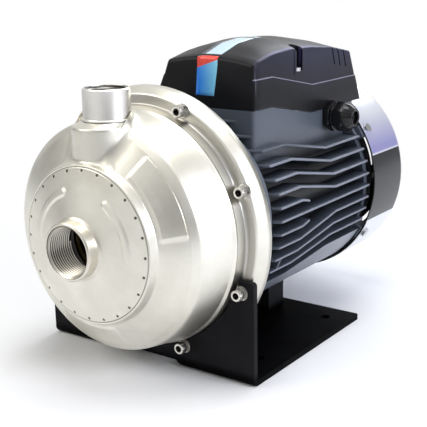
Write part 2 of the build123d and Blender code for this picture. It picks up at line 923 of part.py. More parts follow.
with BuildPart() as motor_housing:
    for row in range(-fin_rows_below, fin_rows_above + 1):
        side_prism(fin_band(row), 0, fin_radius)
    side_prism(
        [
            (housing_front, -fin_radius),
            (housing_front, lowest_fin),
            (wave_start, lowest_fin),
            (wave_end, lowest_fin + fin_pitch),
            (housing_rear, lowest_fin + fin_pitch),
            (housing_rear, -fin_radius),
        ],
        0,
        fin_radius,
    )
    revolve(
        profile(
            (housing_front, 0),
            (housing_front, fin_root_radius),
            (fin_front, fin_radius),
            (housing_rear, fin_radius),
            (housing_rear, 0),
        ),
        axis=shaft_axis,
        mode=Mode.INTERSECT,
    )
    with BuildSketch(station(housing_front)):
        Circle(barrel_radius)
    extrude(amount=housing_front - housing_rear)
    side_prism(
        [(box_front, 0)] + rim_line(gasket_thickness, box_front, housing_rear) + [(housing_rear, 0)],
        box_centre_x,
        pedestal_half_width,
    )
    add(well.part, mode=Mode.SUBTRACT)
    with BuildSketch(station(housing_front)):
        Circle(stator_radius + slip)
    extrude(amount=housing_front - housing_rear, mode=Mode.SUBTRACT)
    with BuildSketch(level(underside)):
        Rectangle(4 * fin_radius, 1000)
    extrude(amount=-fin_radius, mode=Mode.SUBTRACT)
    with BuildSketch(station(housing_front)):
        with PolarLocations(tie_radius, 4, start_angle=45):
            Circle(screw_radius + slip)
    extrude(amount=housing_front - housing_rear, mode=Mode.SUBTRACT)
    with BuildSketch(Plane.YZ.offset(pedestal_side)):
        with Locations((rim_y + gland_from_rim, shaft_height + gland_height)):
            Circle(gland_thread_radius + slip)
    extrude(amount=-pedestal_wall * 2, mode=Mode.SUBTRACT)
    with BuildSketch(Plane.YZ.offset(pedestal_side)):
        with Locations((rim_y + gland_from_rim, shaft_height + gland_height)):
            Circle(gland_collar_radius + gland_stand_off)
    extrude(amount=gland_nut_length, mode=Mode.SUBTRACT)
    for x, along in screw_places:
        with BuildSketch(level(box_front_rim, x, along)):
            Circle(screw_radius + slip)
        extrude(amount=-2 * bolt_engagement, mode=Mode.SUBTRACT)
    support_middle = (support_front + support_rear) / 2
    with BuildSketch(level(underside, 0, support_middle)):
        with GridLocations(support_half_width, 1, 2, 1):
            Circle(screw_radius + slip)
    extrude(amount=bolt_engagement - 2, mode=Mode.SUBTRACT)
write(motor_housing, "motor_housing")

# Rear shield with its bearing hub and the lugs of the fan cover.
rear_bearing_rear = rear_bearing_front + rear_bearing_width
rear_hub_radius = rear_bearing_outer_radius + hub_wall
shield_back = housing_rear + shield_thickness
lug_angles = (32, 148, 212, 328)
lug_length = fan_front - 2 - housing_rear
cover_inside = fan_cover_radius - fan_cover_sheet
cover_screw_place = (fan_cover_front + fan_front - 2) / 2 + 1
with BuildPart() as rear_shield:
    revolve(
        profile(
            (housing_rear - spigot_length, spigot_radius - bracket_wall),
            (housing_rear - spigot_length, spigot_radius),
            (housing_rear, spigot_radius),
            (housing_rear, shield_radius),
            (shield_back, shield_radius),
            (shield_back, rear_journal_radius + slip * 10),
            (rear_bearing_rear, rear_journal_radius + slip * 10),
            (rear_bearing_rear, rear_bearing_outer_radius + slip),
            (rear_bearing_front, rear_bearing_outer_radius + slip),
            (rear_bearing_front, rear_hub_radius),
            (housing_rear, rear_hub_radius),
            (housing_rear, spigot_radius - bracket_wall),
        ),
        axis=shaft_axis,
    )
    with BuildSketch(station(housing_rear + 2)):
        for angle in lug_angles:
            with Locations(Location((0, 0, 0), (0, 0, angle))):
                with Locations(((shield_radius + cover_inside) / 2, 0)):
                    Rectangle(cover_inside - shield_radius + lug_root, lug_width)
    extrude(amount=2 - lug_length)
    revolve(
        profile(
            (housing_rear - spigot_length, 0),
            (housing_rear - spigot_length, cover_inside - seat_gap),
            (shield_back + fan_front, cover_inside - seat_gap),
            (shield_back + fan_front, 0),
        ),
        axis=shaft_axis,
        mode=Mode.INTERSECT,
    )
    with BuildSketch(station(housing_rear)):
        with PolarLocations(tie_radius, 4, start_angle=45):
            Circle(screw_radius + slip)
    extrude(amount=-shield_thickness, mode=Mode.SUBTRACT)
    for angle in lug_angles:
        with BuildSketch(radial_plane(angle, cover_inside, cover_screw_place)):
            Circle(screw_radius + slip)
        extrude(amount=-cover_screw_length - 1, mode=Mode.SUBTRACT)
write(rear_shield, "rear_shield")

with BuildPart() as tie_rods:
    with BuildSketch(station(shield_back)):
        with PolarLocations(tie_radius, 4, start_angle=45):
            Circle(screw_radius)
    extrude(amount=shield_back - housing_front + bolt_engagement - 2)
    with BuildSketch(station(shield_back)):
        with PolarLocations(tie_radius, 4, start_angle=45):
            RegularPolygon(screw_head_radius, 6, major_radius=False)
    extrude(amount=-screw_head_height)
write(tie_rods, "tie_rods")

# Cooling fan and its clip.
blade_root = fan_hub_radius + fan_eye_gap
with BuildPart() as cooling_fan:
    with BuildSketch(station(fan_front)):
        Circle(fan_radius)
    extrude(amount=-fan_disc)
    with BuildSketch(station(fan_front)):
        Circle(fan_hub_radius)
    extrude(amount=-fan_depth)
    with BuildSketch(station(fan_front + fan_disc)):
        with PolarLocations((blade_root + fan_radius) / 2, fan_blades):
            Rectangle(fan_radius - blade_root, blade_thickness)
    extrude(amount=fan_disc - fan_depth)
    with BuildSketch(station(fan_front)):
        Circle(fan_seat_radius + slip)
    extrude(amount=-fan_depth, mode=Mode.SUBTRACT)
write(cooling_fan, "cooling_fan")
clip_front = fan_front + fan_depth
clip_rear = clip_front + fan_clip_thickness
write(sleeve(clip_front, clip_rear, fan_seat_radius + fan_clip_width, fan_seat_radius + slip), "fan_clip")

grille_arcs = [
    Edge.make_circle(
        radius,
        start_angle=0,
        end_angle=360 / grille_slots_per_row - degrees((grille_slot_width + grille_rib) / radius),
    )
    for radius in grille_rows
]
with BuildPart() as fan_cover:
    revolve(
        profile(
            (fan_cover_front, fan_cover_radius),
            (fan_cover_rear, fan_cover_radius),
            (fan_cover_rear, 0),
            (fan_cover_rear - fan_cover_sheet, 0),
            (fan_cover_rear - fan_cover_sheet, cover_inside),
            (fan_cover_front, cover_inside),
            rounds=((1, fan_cover_round), (4, fan_cover_round - fan_cover_sheet)),
        ),
        axis=shaft_axis,
    )
    with BuildSketch(station(fan_cover_rear - fan_cover_sheet)):
        for arc in grille_arcs:
            with PolarLocations(0, grille_slots_per_row):
                SlotArc(arc, grille_slot_width)
    extrude(amount=fan_cover_sheet, both=True, mode=Mode.SUBTRACT)
    for angle in lug_angles:
        with BuildSketch(radial_plane(angle, fan_cover_radius, cover_screw_place)):
            Circle(screw_radius + part_gap)
        extrude(amount=-4 * fan_cover_sheet, mode=Mode.SUBTRACT)
write(fan_cover, "fan_cover")

with BuildPart() as fan_cover_screws:
    for angle in lug_angles:
        with BuildSketch(radial_plane(angle, fan_cover_radius, cover_screw_place)):
            Circle(screw_head_radius)
        extrude(amount=screw_head_height)
        with BuildSketch(radial_plane(angle, fan_cover_radius, cover_screw_place)):
            Circle(screw_radius)
        extrude(amount=-cover_screw_length)
write(fan_cover_screws, "fan_cover_screws")

# Terminal box: gasket, crowned cover, screws, capacitor and terminal block.
with BuildPart() as box_gasket:
    side_prism(
        rim_line(0, box_front + 1, housing_rear) + rim_line(gasket_thickness, box_front + 1, housing_rear)[::-1],
        box_centre_x,
        pedestal_half_width,
    )
    add(well.part, mode=Mode.SUBTRACT)
    with BuildSketch(station(box_front)):
        Circle(barrel_radius + seat_gap)
    extrude(amount=box_front - housing_rear, mode=Mode.SUBTRACT)
    for x, along in screw_places:
        with BuildSketch(level(box_front_rim, x, along)):
            Circle(screw_radius + slip)
        extrude(amount=-2 * bolt_engagement, mode=Mode.SUBTRACT)
write(box_gasket, "box_gasket")


def box_form(inset):
    """Crowned form of the terminal box's cover, or its hollow when inset by the wall."""
    ridge_height = max(ridge for _, ridge, _ in box_ridge)
    with BuildPart() as form:
        for along, ridge, crown in box_ridge:
            with BuildSketch(station(along)):
                with BuildLine():
                    foot_left = (box_left + inset, 0)
                    foot_right = (box_right - inset, 0)
                    lean_left = (box_left + inset, box_lean_start)
                    ridge_left = (box_left_top + inset, ridge - inset)
                    ridge_right = (box_right - inset, ridge - inset)
                    Polyline(ridge_left, lean_left, foot_left, foot_right, ridge_right)
                    ThreePointArc(ridge_right, (box_top_middle, ridge + crown - inset), ridge_left)
                make_face()
        loft()
        side_prism(
            rim_line(inset * 4, box_front + inset, housing_rear - inset - 1)
            + [
                (housing_rear, box_rear_rim + inset),
                (box_rear_corner - inset, box_rear_rim + inset),
                (box_rear_foot - inset * 1.2, box_rear_corner_height),
                (box_rear_top - inset * 1.2, ridge_height),
                (box_rear_top - inset * 1.2, box_top),
                (box_front + inset, box_top),
            ],
            box_centre_x,
            box_half_width + 1,
            Mode.INTERSECT,
        )
        with BuildSketch(station(housing_rear - inset)):
            Circle(fan_cover_radius + 1 + inset)
        extrude(amount=-fan_cover_radius, mode=Mode.SUBTRACT)
        if inset:
            for x, along in screw_places:
                with BuildSketch(level(0, x, along)):
                    Circle(box_screw_pocket_radius + inset)
                extrude(amount=fan_cover_rear, mode=Mode.SUBTRACT)
    return form.part


with BuildPart() as terminal_cover:
    add(box_form(0))
    front_edges = terminal_cover.faces().sort_by(Axis.Y)[0].edges().sort_by(Axis.X)
    fillet((front_edges[0], front_edges[-1]), box_round)
    side_prism(
        rim_line(-box_line_height, box_front, box_rear_foot)
        + rim_line(-box_line_height - box_line_width, box_front, box_rear_foot)[::-1],
        box_right,
        box_line_depth,
        Mode.SUBTRACT,
    )
    add(box_form(box_wall), mode=Mode.SUBTRACT)
    for x, along in screw_places:
        with BuildSketch(level(box_screw_height, x, along)):
            Circle(box_screw_pocket_radius)
        extrude(amount=fan_cover_radius, mode=Mode.SUBTRACT)
        with BuildSketch(level(0, x, along)):
            Circle(screw_radius + slip)
        extrude(amount=fan_cover_rear, mode=Mode.SUBTRACT)
write(terminal_cover, "terminal_cover")

with BuildPart() as box_screws:
    for x, along in screw_places:
        with BuildSketch(level(box_screw_height, x, along)):
            Circle(screw_head_radius)
        extrude(amount=screw_head_height)
        with BuildSketch(level(box_screw_height, x, along)):
            Circle(screw_radius)
        extrude(amount=box_front_rim - box_screw_height - 2 * bolt_engagement + 2)
write(box_screws, "box_screws")

capacitor_height = sqrt((barrel_radius + capacitor_radius + part_gap) ** 2 - capacitor_x**2)
with BuildPart() as capacitor:
    with BuildSketch(station(capacitor_front)):
        with Locations((capacitor_x, capacitor_height)):
            Circle(capacitor_radius)
    extrude(amount=-capacitor_length)
    with BuildSketch(station(capacitor_front)):
        with Locations((capacitor_x, capacitor_height)):
            with GridLocations(tab_spacing, 1, 2, 1):
                Rectangle(tab_size[0], tab_size[1])
    extrude(amount=tab_size[2])
write(capacitor, "capacitor")

block_length, block_width, block_height = terminal_block_size
block_middle = terminal_block_front + block_width / 2
stud_height = barrel_radius + seat_gap + block_height
with BuildPart() as terminal_block:
    with BuildSketch(level(barrel_radius + seat_gap, box_centre_x, block_middle)):
        Rectangle(block_length, block_width)
    extrude(amount=block_height * 0.7)
    with BuildSketch(level(barrel_radius + seat_gap, box_centre_x, block_middle)):
        Rectangle(block_length, block_width / 4)
        with GridLocations(block_length - 1, 1, 2, 1):
            Rectangle(1, block_width)
    extrude(amount=block_height)
    with BuildSketch(level(stud_height, box_centre_x, block_middle)):
        with GridLocations(stud_spacing_x, stud_spacing_y, 3, 2):
            Circle(screw_radius + slip)
    extrude(amount=-stud_length, mode=Mode.SUBTRACT)
write(terminal_block, "terminal_block")

with BuildPart() as terminal_studs:
    with BuildSketch(level(stud_height, box_centre_x, block_middle)):
        with GridLocations(stud_spacing_x, stud_spacing_y, 3, 2):
            Circle(screw_radius)
    extrude(amount=-stud_length)
write(terminal_studs, "terminal_studs")

# Cable gland: body through the wall, seal, dome nut and locknut.
gland_origin = (pedestal_side, rim_y + gland_from_rim, shaft_height + gland_height)
gland_plane = Plane(origin=gland_origin, x_dir=(1, 0, 0), z_dir=(0, -1, 0))
gland_axis = Axis(gland_origin, (1, 0, 0))
collar_end = gland_stand_off + gland_collar_length
gland_mouth = collar_end + gland_nut_length
seal_inner_end = gland_mouth - gland_lip - 0.5 - gland_seal_length
thread_end = -pedestal_wall - locknut_thickness - 2


def gland_ring(*points):
    """Turned piece round the gland's axis, from (distance from the wall, radius) points."""
    with BuildSketch(gland_plane) as face:
        with BuildLine():
            Polyline(*points, close=True)
        make_face()
    return face.sketch


with BuildPart() as gland_body:
    revolve(
        gland_ring(
            (thread_end, cable_radius),
            (thread_end, gland_thread_radius),
            (gland_stand_off, gland_thread_radius),
            (gland_stand_off, gland_collar_radius),
            (collar_end, gland_collar_radius),
            (collar_end, gland_body_radius),
            (seal_inner_end + gland_seal_length, gland_body_radius),
            (seal_inner_end + gland_seal_length, gland_seal_radius + slip),
            (seal_inner_end, gland_seal_radius + slip),
            (seal_inner_end, cable_radius),
        ),
        axis=gland_axis,
    )
write(gland_body, "gland_body")

with BuildPart() as gland_seal:
    with BuildSketch(Plane.YZ.offset(pedestal_side + seal_inner_end)):
        with Locations((rim_y + gland_from_rim, shaft_height + gland_height)):
            Circle(gland_seal_radius)
            Circle(cable_radius, mode=Mode.SUBTRACT)
    extrude(amount=gland_seal_length)
write(gland_seal, "gland_seal")

with BuildPart() as gland_nut:
    revolve(
        gland_ring(
            (collar_end + part_gap, gland_body_radius + slip),
            (collar_end + part_gap, gland_nut_radius),
            (gland_mouth - gland_dome_length, gland_nut_radius),
            (gland_mouth, gland_nut_crown),
            (gland_mouth, gland_mouth_radius),
            (gland_mouth - gland_lip, gland_mouth_radius),
            (gland_mouth - gland_lip, gland_body_radius + slip),
        ),
        axis=gland_axis,
    )
write(gland_nut, "gland_nut")

with BuildPart() as gland_locknut:
    with BuildSketch(Plane.YZ.offset(pedestal_side - pedestal_wall - locknut_thickness)):
        with Locations((rim_y + gland_from_rim, shaft_height + gland_height)):
            RegularPolygon(locknut_flats / 2, 6, major_radius=False)
            Circle(gland_thread_radius + slip, mode=Mode.SUBTRACT)
    extrude(amount=locknut_thickness - slip)
write(gland_locknut, "gland_locknut")

# Base: one folded sheet, its upright bolted in front of the casing's flange.
floor_height = -shaft_height
upright_back = flange_face
upright_front = upright_back - sheet
with BuildPart() as base_bracket:
    side_prism(
        [
            (upright_front, floor_height),
            (base_rear, floor_height),
            (base_rear, floor_height + sheet),
            (upright_back, floor_height + sheet),
            (upright_back, -upright_drop),
            (upright_front, -upright_drop),
        ],
        0,
        base_half_width,
    )
    fold = base_bracket.edges().filter_by(Axis.X).group_by(Axis.Y)[0].sort_by(Axis.Z)[0]
    fillet(fold, fold_radius)
    fillet(base_bracket.edges().filter_by(Axis.Y).group_by(Axis.Z)[-1], upright_corner)
    fillet(base_bracket.edges().filter_by(Axis.Z).group_by(Axis.Y)[-1], upright_corner)
    with BuildSketch(station(upright_front)):
        Circle(bead_foot_radius + upright_cut_clearance)
    extrude(amount=-sheet, mode=Mode.SUBTRACT)
    with BuildSketch(station(upright_front)):
        with BuildLine():
            Polyline(
                (-notch_half_width - notch_slant, floor_height),
                (notch_half_width + notch_slant, floor_height),
                (notch_half_width - notch_slant, floor_height + notch_z),
                (-notch_half_width + notch_slant, floor_height + notch_z),
                close=True,
            )
        make_face()
        with Locations(*around(low_bolt_angles, bolt_circle_radius)):
            Circle(bolt_radius + part_gap)
    extrude(amount=-notch_depth, mode=Mode.SUBTRACT)
    with BuildSketch(Plane.XY):
        with GridLocations(foot_spacing_x, foot_spacing_y, 2, 2):
            Circle(foot_hole_radius)
    extrude(amount=sheet, mode=Mode.SUBTRACT)
    with BuildSketch(level(floor_height, 0, support_middle)):
        with GridLocations(support_half_width, 1, 2, 1):
            Circle(screw_radius + slip)
    extrude(amount=sheet, mode=Mode.SUBTRACT)
write(base_bracket, "base_bracket")

support_foot = floor_height + sheet
with BuildPart() as motor_support:
    side_prism(
        [
            (support_rear, support_foot),
            (support_front, support_foot),
            (support_front, underside),
            (support_rear, underside),
            (support_rear, underside - support_wall),
            (support_front + support_wall, underside - support_wall),
            (support_front + support_wall, support_foot + support_wall),
            (support_rear, support_foot + support_wall),
        ],
        0,
        support_half_width,
    )
    with BuildSketch(level(support_foot, 0, support_middle)):
        with GridLocations(support_half_width, 1, 2, 1):
            Circle(screw_radius + slip)
    extrude(amount=underside - support_foot, mode=Mode.SUBTRACT)
write(motor_support, "motor_support")

with BuildPart() as support_screws:
    for seat, thread, head in (
        (underside - support_wall, support_wall + bolt_engagement - 3, -screw_head_height),
        (support_foot + support_wall, -support_wall - sheet + 1, screw_head_height),
    ):
        with BuildSketch(level(seat, 0, support_middle)):
            with GridLocations(support_half_width, 1, 2, 1):
                Circle(screw_radius)
        extrude(amount=thread)
        with BuildSketch(level(seat, 0, support_middle)):
            with GridLocations(support_half_width, 1, 2, 1):
                Circle(screw_head_radius)
        extrude(amount=head)
write(support_screws, "support_screws")

# Flange bolts with their washers: the upper four sit on the casing, the lower four on the upright.
rows = ((high_bolt_angles, flange_face), (low_bolt_angles, upright_front))
bolt_end = flange_back + bolt_engagement
with BuildPart() as flange_washers:
    for angles, seat in rows:
        with BuildSketch(station(seat)):
            with Locations(*around(angles, bolt_circle_radius)):
                Circle(washer_radius)
                Circle(bolt_radius + part_gap, mode=Mode.SUBTRACT)
        extrude(amount=washer_thickness)
write(flange_washers, "flange_washers")

with BuildPart() as flange_spring_washers:
    for angles, seat in rows:
        with BuildSketch(station(seat - washer_thickness)):
            with Locations(*around(angles, bolt_circle_radius)):
                Circle(spring_washer_radius)
                Circle(bolt_radius + part_gap, mode=Mode.SUBTRACT)
                with Locations((spring_washer_radius - 1, 0)):
                    Rectangle(4, 0.8, rotation=20, mode=Mode.SUBTRACT)
        extrude(amount=washer_thickness)
write(flange_spring_washers, "flange_spring_washers")

with BuildPart() as flange_bolts:
    for angles, seat in rows:
        head_seat = seat - 2 * washer_thickness
        with BuildSketch(station(head_seat)):
            with Locations(*around(angles, bolt_circle_radius)):
                Circle(bolt_radius)
        extrude(amount=head_seat - bolt_end)
        with BuildSketch(station(head_seat)):
            with Locations(*around(angles, bolt_circle_radius)):
                Circle(bolt_head_radius)
        extrude(amount=bolt_head_height)
        with BuildSketch(station(head_seat - bolt_head_height)):
            with Locations(*around(angles, bolt_circle_radius)):
                RegularPolygon(socket_flats / 2, 6, major_radius=False)
        extrude(amount=-socket_depth, mode=Mode.SUBTRACT)
write(flange_bolts, "flange_bolts")
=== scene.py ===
import bmesh
import bpy
import json
from math import atan2, cos, degrees, hypot, pi, radians, sin, sqrt
from mathutils import Matrix, Vector


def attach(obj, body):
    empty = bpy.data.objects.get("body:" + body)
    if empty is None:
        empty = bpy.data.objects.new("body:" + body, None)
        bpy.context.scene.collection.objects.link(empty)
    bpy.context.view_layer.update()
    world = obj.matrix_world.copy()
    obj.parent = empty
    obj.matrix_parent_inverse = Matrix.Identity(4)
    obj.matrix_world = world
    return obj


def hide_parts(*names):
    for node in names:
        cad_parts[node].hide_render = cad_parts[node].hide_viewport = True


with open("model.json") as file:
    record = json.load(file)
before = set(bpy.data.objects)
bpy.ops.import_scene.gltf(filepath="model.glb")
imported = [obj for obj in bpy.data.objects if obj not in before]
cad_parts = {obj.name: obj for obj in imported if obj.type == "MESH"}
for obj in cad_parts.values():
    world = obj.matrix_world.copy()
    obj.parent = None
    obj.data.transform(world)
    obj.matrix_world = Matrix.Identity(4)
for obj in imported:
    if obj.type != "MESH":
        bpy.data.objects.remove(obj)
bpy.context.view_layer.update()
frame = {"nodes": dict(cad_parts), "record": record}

# Pieces are modelled in millimetres from the shaft: x to the right, along the shaft from the rear
# edge of the casing's rim, and height above the shaft. place() then sets them into the frame.
shaft_height = 120.0
rim_y = -83.5
unit = 0.001

# Camera, fitted to the picture's ellipses and edges
camera_place = (0.4933, -0.6899, 0.33475)
camera_yaw = radians(35.57)
camera_pitch = radians(-15.04)
camera_roll = radians(-0.93)
camera_lens = 80.15
sensor_width = 36.0

# Casing
casing_wall = 2.0
drum_shift = (-5.0, -2.0)
shift_stations = ((-87.5, 0.0), (-79.5, 0.3), (-64.0, 0.8), (-57.5, 1.0), (-26.8, 0.0))
casing_segments = 336
pressed_step = 1.1
suction_radius = 23.5
disc_tip = -105.42
disc_slope = 0.28
disc_rear = -88.0
groove_radius = 62.4
spot_radius = 60.0
dimple_count = 24
dimple_depth = 0.5
dimple_radius = 1.3
panel_height = 1.5
panel_arcs = ((10.0, 56.0), (-121.0, -75.0))
panel_inner = 68.6
panel_outer = 88.0
bead_height = 0.9
bead_arcs = ((-4.0, 55.0), (112.0, 176.0))
bead_radius = 45.0
drum_edge = -57.5
flange_face = -13.0
upright_face = -18.0
rim_shoulder = -5.0
rim_radius = 115.5
bolt_circle = 107.0
bolt_angles = [22.5 + 45 * n for n in range(8)]
bolt_hollow = 2.0
bolt_hollow_half = 9.5

# Neck and ports
neck_radius = 23.5
neck_centre = (-2.0, -61.5)
neck_fillet = 9.0
neck_low = 84.0
neck_bend = 90.5
neck_high = 94.6
neck_mouth = 19.9
port_centre = (0.0, -56.6)
port_height = 95.0
port_length = 25.0
suction_base = -85.0
thread_pitch = 2.309
thread_depth = 1.48
suction_bore = 19.476
discharge_bore = 15.146

# Motor
housing_front = 44.0
housing_rear = 213.0
motor_bore = 70.1
barrel_radius = 78.0
skin_depth = 1.5
fin_radius = 95.0
fin_pitch = 11.6
fin_root_half = 1.55
fin_tip_half = 1.2
fin_rows = range(-4, 8)
lowest_fin = -58.0
wave_start = 86.0
wave_end = 146.0
underside = -90.5
gland_clearing = 16.0

# Terminal box
box_right = 68.0
box_left = -41.0
box_left_top = -23.5
box_lean_start = 90.0
box_centre_x = 13.5
box_half_width = 54.5
box_wall = 2.5
box_line_height = 25.0
box_step = 0.8
box_screw_height = 117.5
box_front = 50.0
box_front_rim = 92.5
box_rear_rim = 78.5
box_rear_foot = (238.0, 82.0)
box_rear_top = (214.7, 132.5)
rim_wave_start = 78.0
crown_steps = 24
screw_places = ((64.0, 122.0), (-20.0, 122.0))
screw_pocket = 6.5
screw_cup = 8.5
box_ridge = ((50.0, 129.5, 5.0), (81.0, 135.7, 8.0), (110.0, 137.5, 9.0), (146.0, 136.5, 8.5),
             (180.0, 133.5, 6.5), (215.0, 127.5, 4.0), (242.0, 122.0, 2.0))
slot_places = (181.5, 191.5, 202.0)
gland_from_rim = 178.0
gland_height = 70.5
pedestal_side = 67.0
pedestal_left = -40.0
pedestal_wall = 4.0
film_centre = 20.0
film_half = 10.5
film_low = 101.5
film_bend = 128.0

# Fan cover
cover_radius = 98.0
cover_front = 218.0
cover_rear = 284.0
cover_sheet = 1.5
cover_round = 9.0
cover_hub = 12.0
cover_band = (-23.0, 16.5)
grille_rows = (27.0, 44.0, 61.0, 78.0)
grille_slots_per_row = 8
grille_slot_half = 1.7
grille_rib = 5.0

# Base and the support under the motor
base_top = 5.0 - shaft_height
support_side = 33.9
support_front = 125.0
support_rear = 152.0
support_wall = 3.0


def between(value, low, high):
    """How far value is from low to high, eased at both ends, from 0 to 1."""
    share = min(max((value - low) / (high - low), 0.0), 1.0)
    return share * share * (3 - 2 * share)


def window(value, low, high, before, after):
    """One from low to high, eased from before an edge to after it, and zero outside."""
    return between(value, low - before, low + after) * between(-value, -high - before, -high + after)


def along_table(table, along):
    """Straight-line reading of a table of (place, value) rows."""
    if along <= table[0][0]:
        return table[0][1]
    for (near, low), (far, high) in zip(table, table[1:]):
        if along <= far:
            return low + (high - low) * (along - near) / (far - near)
    return table[-1][1]


# Camera


def set_camera():
    data = bpy.data.cameras.new("photo_camera")
    data.lens = camera_lens
    data.sensor_width = sensor_width
    camera = bpy.data.objects.new("photo_camera", data)
    bpy.context.scene.collection.objects.link(camera)
    turn_left = Matrix.Rotation(camera_yaw, 4, "Z")
    tip_down = Matrix.Rotation(pi / 2 + camera_pitch, 4, "X")
    roll = Matrix.Rotation(camera_roll, 4, "Z")
    camera.matrix_world = Matrix.Translation(camera_place) @ turn_left @ tip_down @ roll
    bpy.context.scene.camera = camera


set_camera()

# Mesh helpers


def place(bm):
    """Sets a mesh in pump millimetres into the frame in metres."""
    bmesh.ops.scale(bm, vec=(unit, unit, unit), verts=bm.verts)
    bmesh.ops.translate(bm, vec=(0, rim_y * unit, shaft_height * unit), verts=bm.verts)


def linked(bm, name):
    """Object of a mesh, in the scene."""
    mesh = bpy.data.meshes.new(name)
    bm.to_mesh(mesh)
    bm.free()
    piece = bpy.data.objects.new(name, mesh)
    bpy.context.scene.collection.objects.link(piece)
    return piece


def finished(bm, name, material, body, smooth):
    """Object of a mesh that is in its place, in its material, which rides on a body."""
    piece = linked(bm, name)
    piece.data.materials.append(material)
    piece.data.shade_smooth()
    piece.data.set_sharp_from_angle(angle=radians(smooth))
    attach(piece, body)
    return piece


def add_piece(bm, name, material, smooth=35.0, keep_normals=False):
    """Makes a piece of the frame body from a mesh in pump millimetres."""
    place(bm)
    if not keep_normals:
        bmesh.ops.recalc_face_normals(bm, faces=bm.faces)
    return finished(bm, name, material, "frame", smooth)


def soften(piece, width, angle=40.0):
    """Rounds a piece's sharp edges."""
    bevel = piece.modifiers.new("edges", "BEVEL")
    bevel.width = width * unit
    bevel.segments = 2
    bevel.limit_method = "ANGLE"
    bevel.angle_limit = radians(angle)
    bevel.harden_normals = True
    bevel.miter_outer = "MITER_ARC"


def thicken(piece, thickness, offset):
    """Gives a skin its wall, inwards at an offset of -1 and to both sides at 0."""
    wall = piece.modifiers.new("wall", "SOLIDIFY")
    wall.thickness = thickness * unit
    wall.offset = offset


def carry(node, name, material, bevel, body):
    """A merged copy of a CAD node with rounded edges that takes the node's place."""
    bm = bmesh.new()
    bm.from_mesh(frame["nodes"][node].data)
    bmesh.ops.remove_doubles(bm, verts=bm.verts, dist=2e-6)
    bmesh.ops.dissolve_limit(bm, angle_limit=radians(0.6), verts=bm.verts, edges=bm.edges)
    piece = finished(bm, name, material, body, 30.0)
    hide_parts(node)
    soften(piece, bevel, 35)


def line(bm, points, closed=False):
    """Edges through points."""
    verts = [bm.verts.new(point) for point in points]
    pairs = list(zip(verts, verts[1:]))
    if closed:
        pairs.append((verts[-1], verts[0]))
    return [bm.edges.new(pair) for pair in pairs]


def loft(bm, rings, closed=True, capped=True):
    """Skin through rings of points; the first and last ring are closed with a face if capped."""
    loops = [line(bm, ring, closed) for ring in rings]
    for near, far in zip(loops, loops[1:]):
        bmesh.ops.bridge_loops(bm, edges=near + far)
    if capped:
        for loop in (loops[0], loops[-1]):
            bmesh.ops.contextual_create(bm, geom=loop)


def curve(start, middle, end, share):
    """Point of the curve that leaves start and reaches end, both towards middle."""
    return start * (1 - share) ** 2 + middle * 2 * share * (1 - share) + end * share**2


def rounded(points, radii, steps=5):
    """Outline with rounded corners: radii is a dict of point index to radius."""
    outline = []
    for index, point in enumerate(points):
        radius = radii.get(index, 0)
        if not radius or index in (0, len(points) - 1):
            outline.append(point)
            continue
        here = Vector(point)
        back = Vector(points[index - 1]) - here
        ahead = Vector(points[index + 1]) - here
        half = back.angle(ahead) / 2
        wanted = radius / max(abs(sin(half) / max(cos(half), 1e-6)), 1e-6)
        reach = min(wanted, back.length / 2.05, ahead.length / 2.05)
        start = here + back.normalized() * reach
        end = here + ahead.normalized() * reach
        outline += [tuple(curve(start, here, end, step / steps)) for step in range(steps + 1)]
    return outline


def spin_line(bm, points, axis, segments, closed):
    """Skin of a line of points that turns once round an axis through the origin."""
    edges = line(bm, points, closed)
    verts = list({vert for edge in edges for vert in edge.verts})
    bmesh.ops.spin(bm, geom=verts + edges, cent=(0, 0, 0), axis=axis, angle=2 * pi, steps=segments,
                   use_merge=True)
    bmesh.ops.remove_doubles(bm, verts=bm.verts, dist=1e-4)


def turn(bm, outline, segments=96, closed=False):
    """Turns an outline of (along, radius) points round the shaft."""
    spin_line(bm, [(0, along, radius) for along, radius in outline], (0, 1, 0), segments, closed)


def stand(bm, base, direction):
    """Moves a mesh that rises from the origin so that it stands on base and points in a direction."""
    aim = Vector(direction).to_track_quat("Z", "Y").to_matrix().to_4x4()
    bmesh.ops.transform(bm, matrix=Matrix.Translation(base) @ aim, verts=bm.verts)


def turn_on(outline, base, direction, segments=48, closed=False):
    """Mesh of an outline of (distance, radius) points turned round an axis through base."""
    bm = bmesh.new()
    spin_line(bm, [(radius, 0, distance) for distance, radius in outline], (0, 0, 1), segments, closed)
    stand(bm, base, direction)
    return bm


def sliced(bm, point, normal):
    """Cuts away what lies past a plane, on the side that its normal points to."""
    bmesh.ops.bisect_plane(bm, geom=bm.verts[:] + bm.edges[:] + bm.faces[:], plane_co=point, plane_no=normal,
                           clear_outer=True)


def join(target, source):
    """Adds a mesh to another and frees it."""
    mesh = bpy.data.meshes.new("joining")
    source.to_mesh(mesh)
    source.free()
    target.from_mesh(mesh)
    bpy.data.meshes.remove(mesh)


def held(bm, name):
    """Object for a closed mesh while it is being cut."""
    bmesh.ops.recalc_face_normals(bm, faces=bm.faces)
    return linked(bm, name)


def taken_out(bm, tool_bm):
    """New mesh: the first less the second, both closed."""
    blank = held(bm, "blank")
    tool = held(tool_bm, "cutter")
    boolean = blank.modifiers.new("cut", "BOOLEAN")
    boolean.operation = "DIFFERENCE"
    boolean.solver = "EXACT"
    boolean.object = tool
    graph = bpy.context.evaluated_depsgraph_get()
    done = bpy.data.meshes.new_from_object(blank.evaluated_get(graph))
    result = bmesh.new()
    result.from_mesh(done)
    bpy.data.objects.remove(blank)
    bpy.data.objects.remove(tool)
    bpy.data.meshes.remove(done)
    return result


# Shader nodes


def feed(tree, socket, value):
    """Gives a socket a number or the output of another node."""
    if isinstance(value, bpy.types.NodeSocket):
        tree.links.new(value, socket)
    else:
        socket.default_value = value


